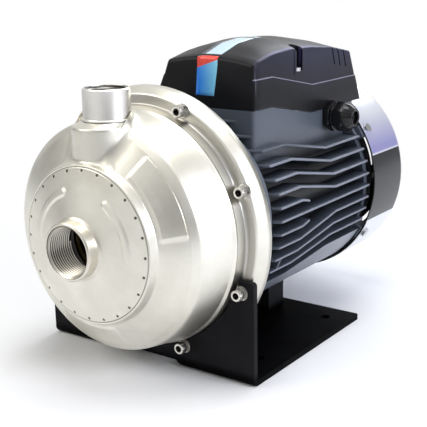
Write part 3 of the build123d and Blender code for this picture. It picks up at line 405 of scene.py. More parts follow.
def noise_node(tree, vector, scale, detail, rough=0.5):
    node = tree.nodes.new("ShaderNodeTexNoise")
    for socket, value in (("Vector", vector), ("Scale", scale), ("Detail", detail), ("Roughness", rough)):
        feed(tree, node.inputs[socket], value)
    return node.outputs["Fac"]


def math_node(tree, operation, first, second=None, clamp=False):
    node = tree.nodes.new("ShaderNodeMath")
    node.operation = operation
    node.use_clamp = clamp
    feed(tree, node.inputs[0], first)
    if second is not None:
        feed(tree, node.inputs[1], second)
    return node.outputs[0]


def times(tree, first, second):
    return math_node(tree, "MULTIPLY", first, second)


def distance(tree, first, second):
    """Distance over two offsets at right angles."""
    squares = math_node(tree, "ADD", times(tree, first, first), times(tree, second, second))
    return math_node(tree, "SQRT", squares)


def range_node(tree, value, low, high, to_low, to_high):
    """Value from low to high, mapped to run from to_low to to_high and held there outside."""
    node = tree.nodes.new("ShaderNodeMapRange")
    tree.links.new(value, node.inputs["Value"])
    for socket, number in (("From Min", low), ("From Max", high), ("To Min", to_low), ("To Max", to_high)):
        node.inputs[socket].default_value = number
    return node.outputs["Result"]


def colour_mix(tree, mask, first, second):
    node = tree.nodes.new("ShaderNodeMix")
    node.data_type = "RGBA"
    tree.links.new(mask, node.inputs["Factor"])
    ends = [socket for socket in node.inputs if socket.type == "RGBA"]
    for socket, value in zip(ends, (first, second)):
        feed(tree, socket, (*value, 1.0) if isinstance(value, tuple) else value)
    return [socket for socket in node.outputs if socket.type == "RGBA"][0]


def object_place(tree):
    """Object coordinates of a shaded point, whole and apart."""
    coordinates = tree.nodes.new("ShaderNodeTexCoord")
    apart = tree.nodes.new("ShaderNodeSeparateXYZ")
    tree.links.new(coordinates.outputs["Object"], apart.inputs[0])
    return coordinates.outputs["Object"], apart.outputs


def pump_place(tree):
    """x, along and height of a shaded point in pump millimetres."""
    _, apart = object_place(tree)
    return [times(tree, math_node(tree, "SUBTRACT", apart[axis], start * unit), 1 / unit)
            for axis, start in (("X", 0.0), ("Y", rim_y), ("Z", shaft_height))]


def new_group(name, inputs, outputs):
    """Empty node group: each input is a number with its usual value, and only Normal is a vector."""
    group = bpy.data.node_groups.new(name, "ShaderNodeTree")
    for socket, value in inputs.items():
        made = group.interface.new_socket(name=socket, in_out="INPUT", socket_type="NodeSocketFloat")
        made.default_value = value
    for socket in outputs:
        kind = "NodeSocketVector" if socket == "Normal" else "NodeSocketFloat"
        group.interface.new_socket(name=socket, in_out="OUTPUT", socket_type=kind)
    return group, group.nodes.new("NodeGroupInput"), group.nodes.new("NodeGroupOutput")


def grain_group():
    """Broad mottling and a normal with fine grain, for moulded, painted and cast surfaces."""
    usual = {"Grain Size": 900.0, "Grain Depth": 0.2, "Mottle Size": 30.0}
    group, inside, outside = new_group("surface_grain", usual, ("Mottle", "Normal"))
    place_node = group.nodes.new("ShaderNodeTexCoord")
    fine = noise_node(group, place_node.outputs["Object"], inside.outputs["Grain Size"], 2.0)
    broad = noise_node(group, place_node.outputs["Object"], inside.outputs["Mottle Size"], 4.0)
    bump = group.nodes.new("ShaderNodeBump")
    bump.inputs["Distance"].default_value = 0.0003
    group.links.new(inside.outputs["Grain Depth"], bump.inputs["Strength"])
    group.links.new(fine, bump.inputs["Height"])
    group.links.new(broad, outside.inputs["Mottle"])
    group.links.new(bump.outputs["Normal"], outside.inputs["Normal"])
    return group


def turned_group():
    """Fine rings round the shaft, as a spun or turned face has, and a broad mottling."""
    group, inside, outside = new_group("turned_rings", {"Ring Size": 1500.0}, ("Rings", "Mottle"))
    position, apart = object_place(group)
    rise = math_node(group, "SUBTRACT", apart["Z"], shaft_height * unit)
    stretched = group.nodes.new("ShaderNodeCombineXYZ")
    turned_to = math_node(group, "ARCTAN2", rise, apart["X"])
    group.links.new(distance(group, apart["X"], rise), stretched.inputs["X"])
    group.links.new(times(group, turned_to, 0.002), stretched.inputs["Y"])
    group.links.new(apart["Y"], stretched.inputs["Z"])
    rings = noise_node(group, stretched.outputs[0], inside.outputs["Ring Size"], 3.0)
    group.links.new(rings, outside.inputs["Rings"])
    group.links.new(noise_node(group, position, 22.0, 4.0, 0.55), outside.inputs["Mottle"])
    return group


def spots_group():
    """Mask of equal round spots on a circle round the shaft, in pump millimetres."""
    usual = {"Count": 8.0, "Phase": 0.5, "Circle": 100.0, "Spot": 2.0, "Edge": 0.5}
    group, inside, outside = new_group("spots_on_a_circle", usual, ("Mask",))
    x, _, height = pump_place(group)
    reach = distance(group, x, height)
    turned_to = math_node(group, "ARCTAN2", height, x)
    whole_turns = 1000
    shares = times(group, math_node(group, "DIVIDE", turned_to, 2 * pi), inside.outputs["Count"])
    centred = math_node(group, "ADD", math_node(group, "SUBTRACT", shares, inside.outputs["Phase"]),
                        whole_turns + 0.5)
    local = math_node(group, "SUBTRACT", math_node(group, "FRACT", centred), 0.5)
    arc = math_node(group, "DIVIDE", times(group, local, 2 * pi), inside.outputs["Count"])
    radial = math_node(group, "SUBTRACT", reach, inside.outputs["Circle"])
    away = distance(group, times(group, arc, reach), radial)
    past = math_node(group, "DIVIDE", math_node(group, "SUBTRACT", away, inside.outputs["Spot"]),
                     inside.outputs["Edge"])
    group.links.new(math_node(group, "SUBTRACT", 1.0, past, clamp=True), outside.inputs["Mask"])
    return group


def shaft_group():
    """Place of a shaded point in pump millimetres, its reach from the shaft and its turn round it."""
    group, _, outside = new_group("round_the_shaft", {}, ("X", "Along", "Height", "Reach", "Turn"))
    x, along, height = pump_place(group)
    for name, value in (("X", x), ("Along", along), ("Height", height), ("Reach", distance(group, x, height)),
                        ("Turn", math_node(group, "ARCTAN2", height, x))):
        group.links.new(value, outside.inputs[name])
    return group


grain = grain_group()
turned = turned_group()
spots = spots_group()
round_the_shaft = shaft_group()


def effect(tree, group, **values):
    """Outputs of a shared effect in a material; Grain_Size in values is the socket Grain Size."""
    node = tree.nodes.new("ShaderNodeGroup")
    node.node_tree = group
    for socket, value in values.items():
        node.inputs[socket.replace("_", " ")].default_value = value
    return node.outputs


# Finishes


def material(name, metallic, roughness, coat=0.0, specular=0.5):
    """Plain material, with its node tree and its shader."""
    made = bpy.data.materials.new(name)
    made.use_nodes = True
    shader = made.node_tree.nodes["Principled BSDF"]
    for socket, value in (("Metallic", metallic), ("Roughness", roughness), ("Specular IOR Level", specular),
                          ("Coat Weight", coat), ("Coat Roughness", 0.1)):
        shader.inputs[socket].default_value = value
    return made, made.node_tree, shader


def mottled(tree, shader, mottle, dark, light):
    """Base colour between two close ones."""
    mask = range_node(tree, mottle, 0.35, 0.65, 0.0, 1.0)
    tree.links.new(colour_mix(tree, mask, dark, light), shader.inputs["Base Color"])


def varied(tree, shader, value, roughness, spread):
    """Roughness that follows a value."""
    tree.links.new(range_node(tree, value, 0.3, 0.7, roughness - spread, roughness + spread),
                   shader.inputs["Roughness"])


def grained(name, dark, light, metallic, roughness, grain_size=900.0, depth=0.2, mottle=30.0, spread=0.06,
            coat=0.0, specular=0.5):
    """Painted, cast, moulded or rubber finish: two close colours mixed by mottling, with fine grain."""
    made, tree, shader = material(name, metallic, roughness, coat, specular)
    surface = effect(tree, grain, Grain_Size=grain_size, Grain_Depth=depth, Mottle_Size=mottle)
    mottled(tree, shader, surface["Mottle"], dark, light)
    varied(tree, shader, surface["Mottle"], roughness, spread)
    tree.links.new(surface["Normal"], shader.inputs["Normal"])
    return made


def spun(name, dark, light, roughness, ring_size=1500.0, depth=0.05, spread=0.04):
    """Metal with fine turned rings round the shaft."""
    made, tree, shader = material(name, 1.0, roughness)
    surface = effect(tree, turned, Ring_Size=ring_size)
    mottled(tree, shader, surface["Mottle"], dark, light)
    both = math_node(tree, "ADD", times(tree, surface["Rings"], 0.6), times(tree, surface["Mottle"], 0.4))
    varied(tree, shader, both, roughness, spread)
    bump = tree.nodes.new("ShaderNodeBump")
    bump.inputs["Strength"].default_value = depth
    bump.inputs["Distance"].default_value = 0.0002
    tree.links.new(surface["Rings"], bump.inputs["Height"])
    tree.links.new(bump.outputs["Normal"], shader.inputs["Normal"])
    return made


def band_mask(tree, value, low, high, edge):
    """One where value lies between low and high, with soft ends of width edge."""
    return times(tree, range_node(tree, value, low - edge, low, 0.0, 1.0),
                 range_node(tree, value, high, high + edge, 1.0, 0.0))


def tint(made, mask, colour):
    """Mixes a colour into a finished material where a mask says."""
    tree = made.node_tree
    shader = tree.nodes["Principled BSDF"]
    below = shader.inputs["Base Color"].links[0].from_socket
    tree.links.new(colour_mix(tree, mask, below, colour), shader.inputs["Base Color"])


def spotted(made, count, phase, circle, spot, dark):
    """Dark round spots on a circle, such as dimples, or painted shade in sockets."""
    mask = effect(made.node_tree, spots, Count=count, Phase=phase, Circle=circle, Spot=spot)["Mask"]
    tint(made, mask, dark)


def threaded(name, dark, light, roughness, bore, depth, mouth, upright=False):
    """Machined port with painted shade in its thread roots, which starts a little way in from its mouth."""
    made = spun(name, dark, light, roughness, depth=0.01, spread=0.03)
    tree = made.node_tree
    spot = effect(tree, round_the_shaft)
    fade = 1.5
    if upright:
        across = math_node(tree, "SUBTRACT", spot["Along"], port_centre[1])
        deep = range_node(tree, spot["Height"], mouth, mouth - fade, 0.0, 1.0)
    else:
        across = spot["Height"]
        deep = range_node(tree, spot["Along"], mouth, mouth + fade, 0.0, 1.0)
    reach = distance(tree, spot["X"], across)
    root = range_node(tree, reach, bore, bore + 0.7 * depth, 0.0, 1.0)
    outside = range_node(tree, reach, bore + depth, bore + depth + 0.2, 1.0, 0.0)
    # Painted shade in the thread roots, fading in from the mouth.
    tint(made, times(tree, times(tree, root, outside), deep), (0.02, 0.017, 0.013))
    return made


def casing_finish():
    """Pressed stainless: dark dimples, painted shade on the flange face inside the rim, and a painted shade
    line in the groove round the disc.
    """
    made = spun("pressed_stainless", (0.68, 0.66, 0.58), (0.81, 0.79, 0.71), 0.36, depth=0.03)
    spotted(made, dimple_count, 0.0, spot_radius, 0.9, (0.10, 0.095, 0.08))
    tree = made.node_tree
    spot = effect(tree, round_the_shaft)
    # Painted shade: the flange face between the bead and the rim is darkened towards the flange.
    face = band_mask(tree, spot["Reach"], 100.5, 108.0, 1.5)
    rear = range_node(tree, spot["Along"], flange_face - 11.0, flange_face - 3.0, 0.0, 0.7)
    tint(made, times(tree, face, rear), (0.36, 0.35, 0.33))
    # Painted shade in the groove round the disc.
    groove = band_mask(tree, spot["Reach"], groove_radius - 0.2, groove_radius + 0.2, 0.3)
    front = range_node(tree, spot["Along"], disc_rear + 1.0, disc_rear + 2.0, 0.6, 0.0)
    tint(made, times(tree, groove, front), (0.14, 0.13, 0.12))
    return made


casing_metal = casing_finish()
port_metal = threaded("threaded_suction_stainless", (0.66, 0.63, 0.55), (0.78, 0.75, 0.67), 0.34, 19.5, 1.4,
                      -109.0)
polished_metal = threaded("threaded_discharge_stainless", (0.80, 0.78, 0.74), (0.90, 0.88, 0.83), 0.33, 14.6,
                          1.9, 119.9, upright=True)
# Painted shade: the stainless parts inside the pump get a darker colour than their own.
inner_sheet_painted_shade = spun("stainless_sheet_painted_shade", (0.30, 0.29, 0.27), (0.40, 0.39, 0.36), 0.40)
# Painted light: a darker copy of the stainless for the bolts' sides, and a lighter copy for the faces turned
# to the front.
bolt_metal_shaded = spun("fastener_stainless", (0.26, 0.25, 0.23), (0.38, 0.36, 0.33), 0.34, depth=0.01)
bolt_face_painted_highlight = spun("fastener_stainless_painted_highlight", (0.74, 0.72, 0.66), (0.86, 0.84, 0.78), 0.36, depth=0.01)
# Painted shade in the bolts' hex sockets.
for metal_here in (bolt_metal_shaded, bolt_face_painted_highlight):
    spotted(metal_here, len(bolt_angles), 0.5, bolt_circle, 2.45, (0.012, 0.011, 0.010))
zinc_metal = spun("zinc_plated_steel", (0.50, 0.50, 0.50), (0.62, 0.62, 0.63), 0.36)
ground_metal = spun("ground_steel", (0.52, 0.52, 0.52), (0.64, 0.64, 0.64), 0.22)
bearing_metal = spun("bearing_steel", (0.62, 0.62, 0.63), (0.72, 0.72, 0.73), 0.12)
# Painted shade: the bronze inside the pump gets a darker colour than its own.
bronze = spun("turned_bronze_painted_shade", (0.36, 0.24, 0.11), (0.46, 0.33, 0.16), 0.34)
core_metal = spun("laminated_core", (0.16, 0.16, 0.17), (0.26, 0.26, 0.27), 0.45, ring_size=2500.0)
cast_aluminium = grained("cast_aluminium", (0.52, 0.52, 0.53), (0.62, 0.62, 0.63), 1.0, 0.42)
can_metal = grained("drawn_can", (0.58, 0.58, 0.60), (0.66, 0.66, 0.68), 1.0, 0.34, depth=0.05, spread=0.03)
copper_wire = grained("varnished_copper", (0.42, 0.14, 0.05), (0.58, 0.24, 0.09), 1.0, 0.35, 500.0, 0.6,
                      120.0)
paint_colours = ((0.074, 0.088, 0.110), (0.080, 0.094, 0.117))
motor_paint = grained("motor_paint", *paint_colours, 0.0, 0.34, 1300.0, 0.12, 18.0, 0.015)


def fin_finish():
    """Motor paint with painted shade between the fins and a painted highlight on their tips."""
    made = grained("fin_paint_with_painted_light", *paint_colours, 0.0, 0.34, 1300.0, 0.12, 18.0, 0.015, specular=0.45)
    tree = made.node_tree
    spot = effect(tree, round_the_shaft)
    # Painted shade in the gaps between the fins.
    gap = range_node(tree, spot["Reach"], barrel_radius + 2.0, fin_radius - 2.5, 1.0, 0.0)
    below = range_node(tree, spot["Height"], 46.0, 56.0, 1.0, 0.0)
    tint(made, times(tree, gap, below), (0.006, 0.007, 0.010))
    # Painted highlight on the fins' tips.
    tips = range_node(tree, spot["Reach"], fin_radius - 1.2, fin_radius - 0.2, 0.0, 0.55)
    tint(made, times(tree, tips, below), (0.30, 0.32, 0.38))
    return made


def base_finish():
    """Black paint, with painted shade making the lying sheet darker than its upright."""
    made = grained("base_paint", (0.012, 0.012, 0.013), (0.018, 0.018, 0.020), 0.0, 0.50, 1000.0, 0.22,
                   specular=0.03)
    tree = made.node_tree
    height = effect(tree, round_the_shaft)["Height"]
    # Painted shade on the lying sheet.
    tint(made, range_node(tree, height, base_top + 1.0, base_top + 7.0, 1.0, 0.0), (0.001, 0.001, 0.0012))
    return made


def box_finish():
    """Black moulding with a painted violet sheen on the upper right side, a painted violet highlight along
    the ridge, and a painted pale highlight on the line where the upper part steps in.
    """
    made = grained("box_plastic", (0.005, 0.005, 0.006), (0.008, 0.008, 0.010), 0.0, 0.36, 1500.0, 0.25,
                   coat=0.04, specular=0.16)
    tree = made.node_tree
    spot = effect(tree, round_the_shaft)

    def from_side(far, near, low, high):
        return range_node(tree, spot["X"], box_right - far, box_right - near, low, high)

    fall = range_node(tree, spot["Along"], rim_wave_start, wave_end, 0.0, box_front_rim - box_rear_rim)
    level = math_node(tree, "ADD", spot["Height"], fall)
    # Painted violet sheen on the upper part of the side.
    side = times(tree, from_side(2.6, 1.8, 0.0, 1.0), range_node(tree, level, 108.0, 142.0, 0.0, 1.0))
    tint(made, side, (0.030, 0.030, 0.050))
    # Painted violet highlight along the ridge.
    edge = times(tree, from_side(5.5, 4.0, 0.0, 1.0), from_side(2.4, 1.4, 1.0, 0.0))
    tint(made, times(tree, edge, range_node(tree, level, 130.0, 136.0, 0.0, 0.8)), (0.070, 0.055, 0.160))
    # Painted highlight on the ledge where the upper part steps in.
    above = math_node(tree, "SUBTRACT", level, box_front_rim + box_line_height - 0.4)
    off_line = math_node(tree, "DIVIDE", math_node(tree, "ABSOLUTE", above), 0.6)
    pale = math_node(tree, "SUBTRACT", 1.0, off_line, clamp=True)
    tint(made, times(tree, pale, from_side(3.0, 2.4, 0.0, 1.0)), (0.28, 0.28, 0.36))
    return made


def cover_finish():
    """Silver enamel outside, with a painted violet reflection above a painted dark reflection band, a painted
    highlight on its upper crease and painted shade on its lower one; painted shade at the front lip and
    inside.
    """
    silver = 0.45
    made = grained("silver_enamel", (0.72, 0.73, 0.77), (0.76, 0.77, 0.80), silver, 0.30, 2500.0, 0.02, 12.0,
                   0.02)
    tree = made.node_tree
    spot = effect(tree, round_the_shaft)
    low, high = (radians(edge) for edge in cover_band)
    on_side = range_node(tree, spot["Along"], cover_rear - 8.0, cover_rear - 4.0, 1.0, 0.0)
    # Painted violet reflection above the band.
    cast = times(tree, range_node(tree, spot["Turn"], high, high + 0.02, 0.0, 0.8),
                 range_node(tree, spot["Turn"], high + 0.06, high + 0.42, 1.0, 0.0))
    tint(made, times(tree, on_side, cast), (0.24, 0.23, 0.56))
    # Painted dark reflection in the band.
    tint(made, times(tree, band_mask(tree, spot["Turn"], low, high, 0.006), on_side), (0.028, 0.028, 0.030))
    # Painted shade on the lower crease and a painted highlight on the upper one.
    for edge, colour in ((low, (0.02, 0.02, 0.03)), (high, (0.85, 0.85, 0.95))):
        crease = band_mask(tree, spot["Turn"], edge - 0.003, edge + 0.003, 0.004)
        tint(made, times(tree, crease, on_side), colour)

    def inside_of(reach, along):
        return times(tree, range_node(tree, spot["Reach"], reach, reach + 0.4, 1.0, 0.0),
                     range_node(tree, spot["Along"], along, along + 0.5, 1.0, 0.0))

    # Painted shade on the front lip and the inside of the cover.
    lip = range_node(tree, spot["Along"], cover_front + 0.7, cover_front + 1.1, 1.0, 0.0)
    wall = inside_of(cover_radius - cover_sheet + 0.3, cover_rear - 10.0)
    rear = inside_of(cover_radius - cover_round - 0.5, cover_rear - 1.0)
    shade_inside = math_node(tree, "MAXIMUM", lip, math_node(tree, "MAXIMUM", wall, rear))
    tint(made, shade_inside, (0.008, 0.008, 0.009))
    tree.links.new(times(tree, math_node(tree, "SUBTRACT", 1.0, shade_inside), silver),
                   tree.nodes["Principled BSDF"].inputs["Metallic"])
    return made


def film_finish():
    """Plain printed film: light blue, with a red corner wedge and a dark blue edge, in slanted fields."""
    made, tree, shader = material("printed_film", 0.0, 0.28, 0.4)
    position, _ = object_place(tree)
    spot = effect(tree, round_the_shaft)
    across = times(tree, math_node(tree, "SUBTRACT", spot["X"], film_centre - film_half), 0.5 / film_half)
    rise = math_node(tree, "ADD", math_node(tree, "SUBTRACT", spot["Height"], film_low - 2.5),
                     math_node(tree, "SUBTRACT", spot["Along"], box_front))
    slanted = math_node(tree, "ADD", times(tree, rise, 0.04), times(tree, across, -0.30))
    paler = range_node(tree, across, 0.05, 0.95, 0.0, 1.0)
    print_now = colour_mix(tree, paler, (0.0, 0.26, 1.0), (0.30, 0.80, 1.0))
    wedge = range_node(tree, slanted, 1.02, 1.04, 0.0, 1.0)
    top = range_node(tree, slanted, 1.46, 1.48, 0.0, 1.0)
    left_edge = times(tree, top, range_node(tree, across, 0.20, 0.22, 1.0, 0.0))
    worn = noise_node(tree, position, 260.0, 3.0, 0.6)
    scuffs = range_node(tree, worn, 0.55, 0.75, 0.0, 0.08)
    for mask, colour in ((wedge, (0.95, 0.06, 0.03)), (top, (0.55, 0.72, 0.80)),
                         (left_edge, (0.01, 0.015, 0.05)), (scuffs, (0.8, 0.8, 0.8))):
        print_now = colour_mix(tree, mask, print_now, colour)
    tree.links.new(print_now, shader.inputs["Base Color"])
    tree.links.new(range_node(tree, worn, 0.3, 0.7, 0.31, 0.40), shader.inputs["Roughness"])
    return made


fin_paint_with_painted_light = fin_finish()
bracket_paint = grained("bracket_paint", (0.10, 0.115, 0.14), (0.12, 0.135, 0.16), 0.0, 0.36, 1200.0, 0.2)
base_paint = base_finish()
box_plastic = box_finish()
gland_plastic = grained("gland_plastic", (0.004, 0.004, 0.004), (0.006, 0.006, 0.007), 0.0, 0.20, 1200.0,
                        0.06, specular=0.4)
fan_plastic = grained("fan_plastic", (0.045, 0.045, 0.05), (0.06, 0.06, 0.065), 0.0, 0.5)
black_rubber = grained("black_rubber", (0.014, 0.014, 0.014), (0.022, 0.022, 0.022), 0.0, 0.62, 1400.0, 0.4)
ceramic = grained("lapped_ceramic", (0.78, 0.75, 0.68), (0.84, 0.82, 0.76), 0.0, 0.15, depth=0.02)
carbon = grained("lapped_carbon", (0.05, 0.05, 0.05), (0.08, 0.08, 0.08), 0.0, 0.35, depth=0.05)
silver_paint = cover_finish()
film = film_finish()

slot_materials = {
    "casing_steel": casing_metal, "port_steel": port_metal, "inner_steel": inner_sheet_painted_shade, "bronze": bronze,
    "bolt_steel": bolt_metal_shaded, "zinc_steel": zinc_metal, "shaft_steel": ground_metal,
    "bearing_steel": bearing_metal, "seal_rubber": black_rubber, "seal_ceramic": ceramic,
    "seal_carbon": carbon, "spring_steel": ground_metal, "black_casting": bracket_paint,
    "motor_casting": motor_paint, "base_paint": base_paint, "cover_paint": silver_paint,
    "core_steel": core_metal, "copper": copper_wire, "rotor_aluminium": cast_aluminium,
    "box_plastic": box_plastic, "gland_plastic": gland_plastic, "fan_plastic": fan_plastic,
    "can_aluminium": can_metal,
}


def dress_nodes():
    """Gives every CAD node the material of its slot."""
    slots = {entry["node"]: entry["material_slot"] for entry in frame["record"]["subparts"]}
    for name, node in frame["nodes"].items():
        finish = slot_materials[slots[name]]
        for material_slot in node.material_slots:
            material_slot.material = finish
        if not node.material_slots:
            node.data.materials.append(finish)


dress_nodes()

# Pump casing


def drum_share(along):
    """How far the drum is off the shaft's axis at a station, from 0 to 1."""
    return along_table(shift_stations, along)


def disc_at(radius):
    """Point of the disc's slope at a radius."""
    return (disc_tip + disc_slope * radius, radius)


def divided(outline, step):
    """Outline cut into runs of about one step in the pressed part, and of about four steps behind it."""
    pressed_rear = -60.0
    result = [outline[0]]
    for near, far in zip(outline, outline[1:]):
        longest = step if far[0] < pressed_rear else 4 * step
        pieces = max(1, int(hypot(far[0] - near[0], far[1] - near[1]) / longest + 0.5))
        result += [(near[0] + (far[0] - near[0]) * n / pieces, near[1] + (far[1] - near[1]) * n / pieces)
                   for n in range(1, pieces + 1)]
    return result


casing_outline = divided(rounded(
    [disc_at(radius) for radius in (suction_radius, 40.0, 58.6, 59.3, spot_radius, 60.7, 61.4, 62.1)]
    + [(-87.45, groove_radius), disc_at(62.9), (-87.5, 64.2), (-79.6, 66.8), (-63.6, 88.8), (drum_edge, 95.0),
       (-30.0, 99.2), (-26.8, 100.8), (-23.6, 99.3), (flange_face, 100.4), (flange_face, 109.5),
       (rim_shoulder, 114.4), (0.0, rim_radius)],
    {10: 2.4, 11: 1.8, 12: 3.0, 13: 5.5, 14: 2.0, 15: 1.4, 16: 2.0, 17: 2.4, 18: 3.0, 19: 6.0}, 6,
), pressed_step)


def casing_radius(along):
    """Outer radius of the casing at a station behind the disc's edge."""
    return along_table(sorted(row for row in casing_outline if row[0] >= -87.6), along)


def panel_lift(angle, radius):
    """Height of the two panels pressed out of the cone."""
    inside = sum(window(angle, start, end, 0.7, 0.5) for start, end in panel_arcs)
    return panel_height * inside * between(radius, panel_inner, panel_inner + 1.2) * between(
        -radius, -panel_outer, 1.4 - panel_outer)


def bead_lift(angle, radius):
    """Height of the two round beads pressed out of the disc."""
    lift = 0.0
    for start, end in bead_arcs:
        nearest = radians(min(max(angle, start), end) - angle) * radius
        lift += bead_height * between(-hypot(nearest, radius - bead_radius), -3.1, -2.0)
    return lift


def dimple_drop(angle, radius):
    """Depth of the spot welds' dimples in the disc."""
    spacing = 360 / dimple_count
    away = radians((angle + spacing / 2) % spacing - spacing / 2) * radius
    return dimple_depth * max(0.0, 1 - hypot(away, radius - spot_radius) / dimple_radius)


def press_casing(point):
    """Moves a point of the turned casing to its pressed place: volute, panels, beads and bolt hollows."""
    x, along, height = point
    radius = hypot(x, height)
    angle = degrees(atan2(height, x))
    if along > flange_face - 0.5 or radius < 1:
        return point
    lift = 0.0
    on_disc = along < disc_rear
    if -79.5 < along < -63.0 and radius > 67:
        lift += panel_lift(angle, radius)
    if on_disc:
        lift += bead_lift(angle, radius)
    if abs(radius - spot_radius) < 3.0 and along < -86.0:
        lift -= dimple_drop(angle, radius)
    along -= lift * (1.0 if on_disc else 0.66)
    radius += lift * (0.0 if on_disc else 0.75)
    if -26.5 < along < flange_face - 0.2:
        for bolt in bolt_angles:
            away = radians((angle - bolt + 180) % 360 - 180) * radius
            hollow = max(0.0, 1 - (away / bolt_hollow_half) ** 2) ** 2
            radius -= bolt_hollow * hollow * between(along, -26.5, -20.0)
    share = drum_share(along)
    return (radius * cos(radians(angle)) + drum_shift[0] * share, along,
            radius * sin(radians(angle)) + drum_shift[1] * share)


def make_casing():
    bm = bmesh.new()
    turn(bm, casing_outline, casing_segments)
    for vert in bm.verts:
        vert.co = press_casing(vert.co)
    inside_neck = []
    for face in bm.faces:
        middle = face.calc_center_median()
        away = hypot(middle.x - neck_centre[0], middle.y - neck_centre[1])
        if middle.z > 55 and away < neck_radius - 4:
            inside_neck.append(face)
    bmesh.ops.delete(bm, geom=inside_neck, context="FACES")
    piece = add_piece(bm, "pump_casing_shell", casing_metal, smooth=50)
    thicken(piece, casing_wall, -1.0)
    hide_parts("pump_casing")


def casing_height(x, along):
    """Height of the casing's outer surface above the shaft at a place."""
    station = max(along, disc_rear + 1.0)
    share = drum_share(station)
    radius = casing_radius(station)
    across = x - drum_shift[0] * share
    return drum_shift[1] * share + sqrt(max(radius**2 - across**2, 0.0))


def make_neck():
    """Neck of the discharge, from its fillet on the drum up to the port's weld."""
    bm = bmesh.new()
    steps = 96
    fillet_rings = 7
    rings = [[] for _ in range(fillet_rings)]

    def on_casing(radius, angle):
        x = neck_centre[0] + radius * cos(angle)
        along = neck_centre[1] + radius * sin(angle)
        return Vector((x, along, casing_height(x, along)))

    for step in range(steps):
        angle = 2 * pi * step / steps
        foot = on_casing(neck_radius, angle)
        width = neck_fillet * (0.30 + 0.70 * between(foot.y, -85.0, -74.0))
        out = on_casing(neck_radius + width, angle)
        up = foot + Vector((0, 0, width))
        for index, ring in enumerate(rings):
            ring.append(curve(out, foot, up, index / (fillet_rings - 1)))

    def neck_ring(x, along, radius, height):
        return [(x + radius * cos(2 * pi * step / steps), along + radius * sin(2 * pi * step / steps), height)
                for step in range(steps)]

    outline = [(neck_radius, neck_low), (neck_radius, neck_bend), (neck_mouth, neck_high)]
    for radius, height in rounded(outline, {1: 4.0}, 6):
        share = between(neck_radius - radius, 0.0, neck_radius - neck_mouth)
        x, along = (start + (end - start) * share for start, end in zip(neck_centre, port_centre))
        rings.append(neck_ring(x, along, radius, height))
    loft(bm, rings, capped=False)
    add_piece(bm, "discharge_neck", casing_metal, smooth=60)


make_casing()
make_neck()

# Ports with their threads


def thread(bm, base, direction, radius, length, mouth, segments=64):
    """Inner pipe thread as one helical band, turned with a rise of one pitch per turn."""
    turns = int(length / thread_pitch)
    root = radius + thread_depth
    part = bmesh.new()
    edges = line(part, [(radius, 0, 0), (root, 0, thread_pitch * 0.5), (radius, 0, thread_pitch)])
    verts = list({vert for edge in edges for vert in edge.verts})
    bmesh.ops.spin(part, geom=verts + edges, cent=(0, 0, 0), axis=(0, 0, 1),
                   dvec=(0, 0, thread_pitch / segments), angle=2 * pi * turns, steps=segments * turns,
                   use_merge=False)
    bmesh.ops.remove_doubles(part, verts=part.verts, dist=0.01)
    opening = (Vector(mouth) - Vector(base)).dot(Vector(direction))
    sliced(part, (0, 0, opening), (0, 0, -1))
    for vert in part.verts:
        reach = hypot(vert.co.x, vert.co.y)
        share = min(1.0, (vert.co.z - opening) / (0.6 * thread_pitch))
        target = root - (root - reach) * share
        vert.co.x *= target / reach
        vert.co.y *= target / reach
    bmesh.ops.recalc_face_normals(part, faces=part.faces)
    outward = [face for face in part.faces if face.normal.xy.dot(face.calc_center_median().xy) > 0]
    bmesh.ops.reverse_faces(part, faces=outward)
    stand(part, base, direction)
    join(bm, part)


def make_suction_port():
    """Turned pipe end with its weld bead on the disc."""
    bore = 20.96
    outline = rounded([(-2.0, bore), (-2.0, suction_radius), (port_length - 1.2, suction_radius),
                       (port_length, suction_radius - 1.2), (port_length, 21.2), (port_length - 1.0, bore),
                       (-2.0, bore)], {2: 0.5, 3: 0.5, 4: 0.4}, 3)
    bm = turn_on(outline, (0, suction_base, 0), (0, -1, 0), 96)
    weld = [(11.0, 26.2), (12.6, 26.1), (13.9, 24.9), (14.8, 23.4), (12.0, 22.6)]
    bead = rounded(weld, {1: 0.8, 2: 0.8}, 3)
    join(bm, turn_on(bead, (0, suction_base, 0), (0, -1, 0), 96, closed=True))
    bmesh.ops.recalc_face_normals(bm, faces=bm.faces)
    mouth = suction_base - port_length
    thread(bm, (0, mouth - 2.2, 0), (0, 1, 0), suction_bore, 27.5, (0, mouth + 0.5, 0))
    piece = add_piece(bm, "suction_port_turned", port_metal, smooth=40, keep_normals=True)
    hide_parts("suction_port")


def make_discharge_port():
    """Turned pipe end with a small step above its weld."""
    inner, wall, outer = 15.2, 16.7, 18.8
    outline = rounded([(0.0, inner), (0.0, 20.1), (1.3, 20.0), (1.6, 18.9), (port_length - 1.1, outer),
                       (port_length, outer - 1.0), (port_length, 16.9), (port_length - 1.0, wall),
                       (0.0, wall), (0.0, inner)], {1: 0.4, 2: 0.5, 3: 0.4, 5: 0.4, 6: 0.3, 7: 0.3}, 3)
    bm = turn_on(outline, (*port_centre, port_height), (0, 0, 1), 80)
    bmesh.ops.recalc_face_normals(bm, faces=bm.faces)
    mouth = port_height + port_length
    thread(bm, (*port_centre, mouth + 2.0), (0, 0, -1), discharge_bore, 26.5, (*port_centre, mouth - 0.6))
    piece = add_piece(bm, "discharge_port_turned", polished_metal, smooth=40, keep_normals=True)
    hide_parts("discharge_port")


make_suction_port()
make_discharge_port()

# Motor housing


def wave_share(along, end=wave_end):
    """How far a fin is through its wave at a station, from 0 to 1."""
    return min(max((along - wave_start) / (end - wave_start), 0.0), 1.0)


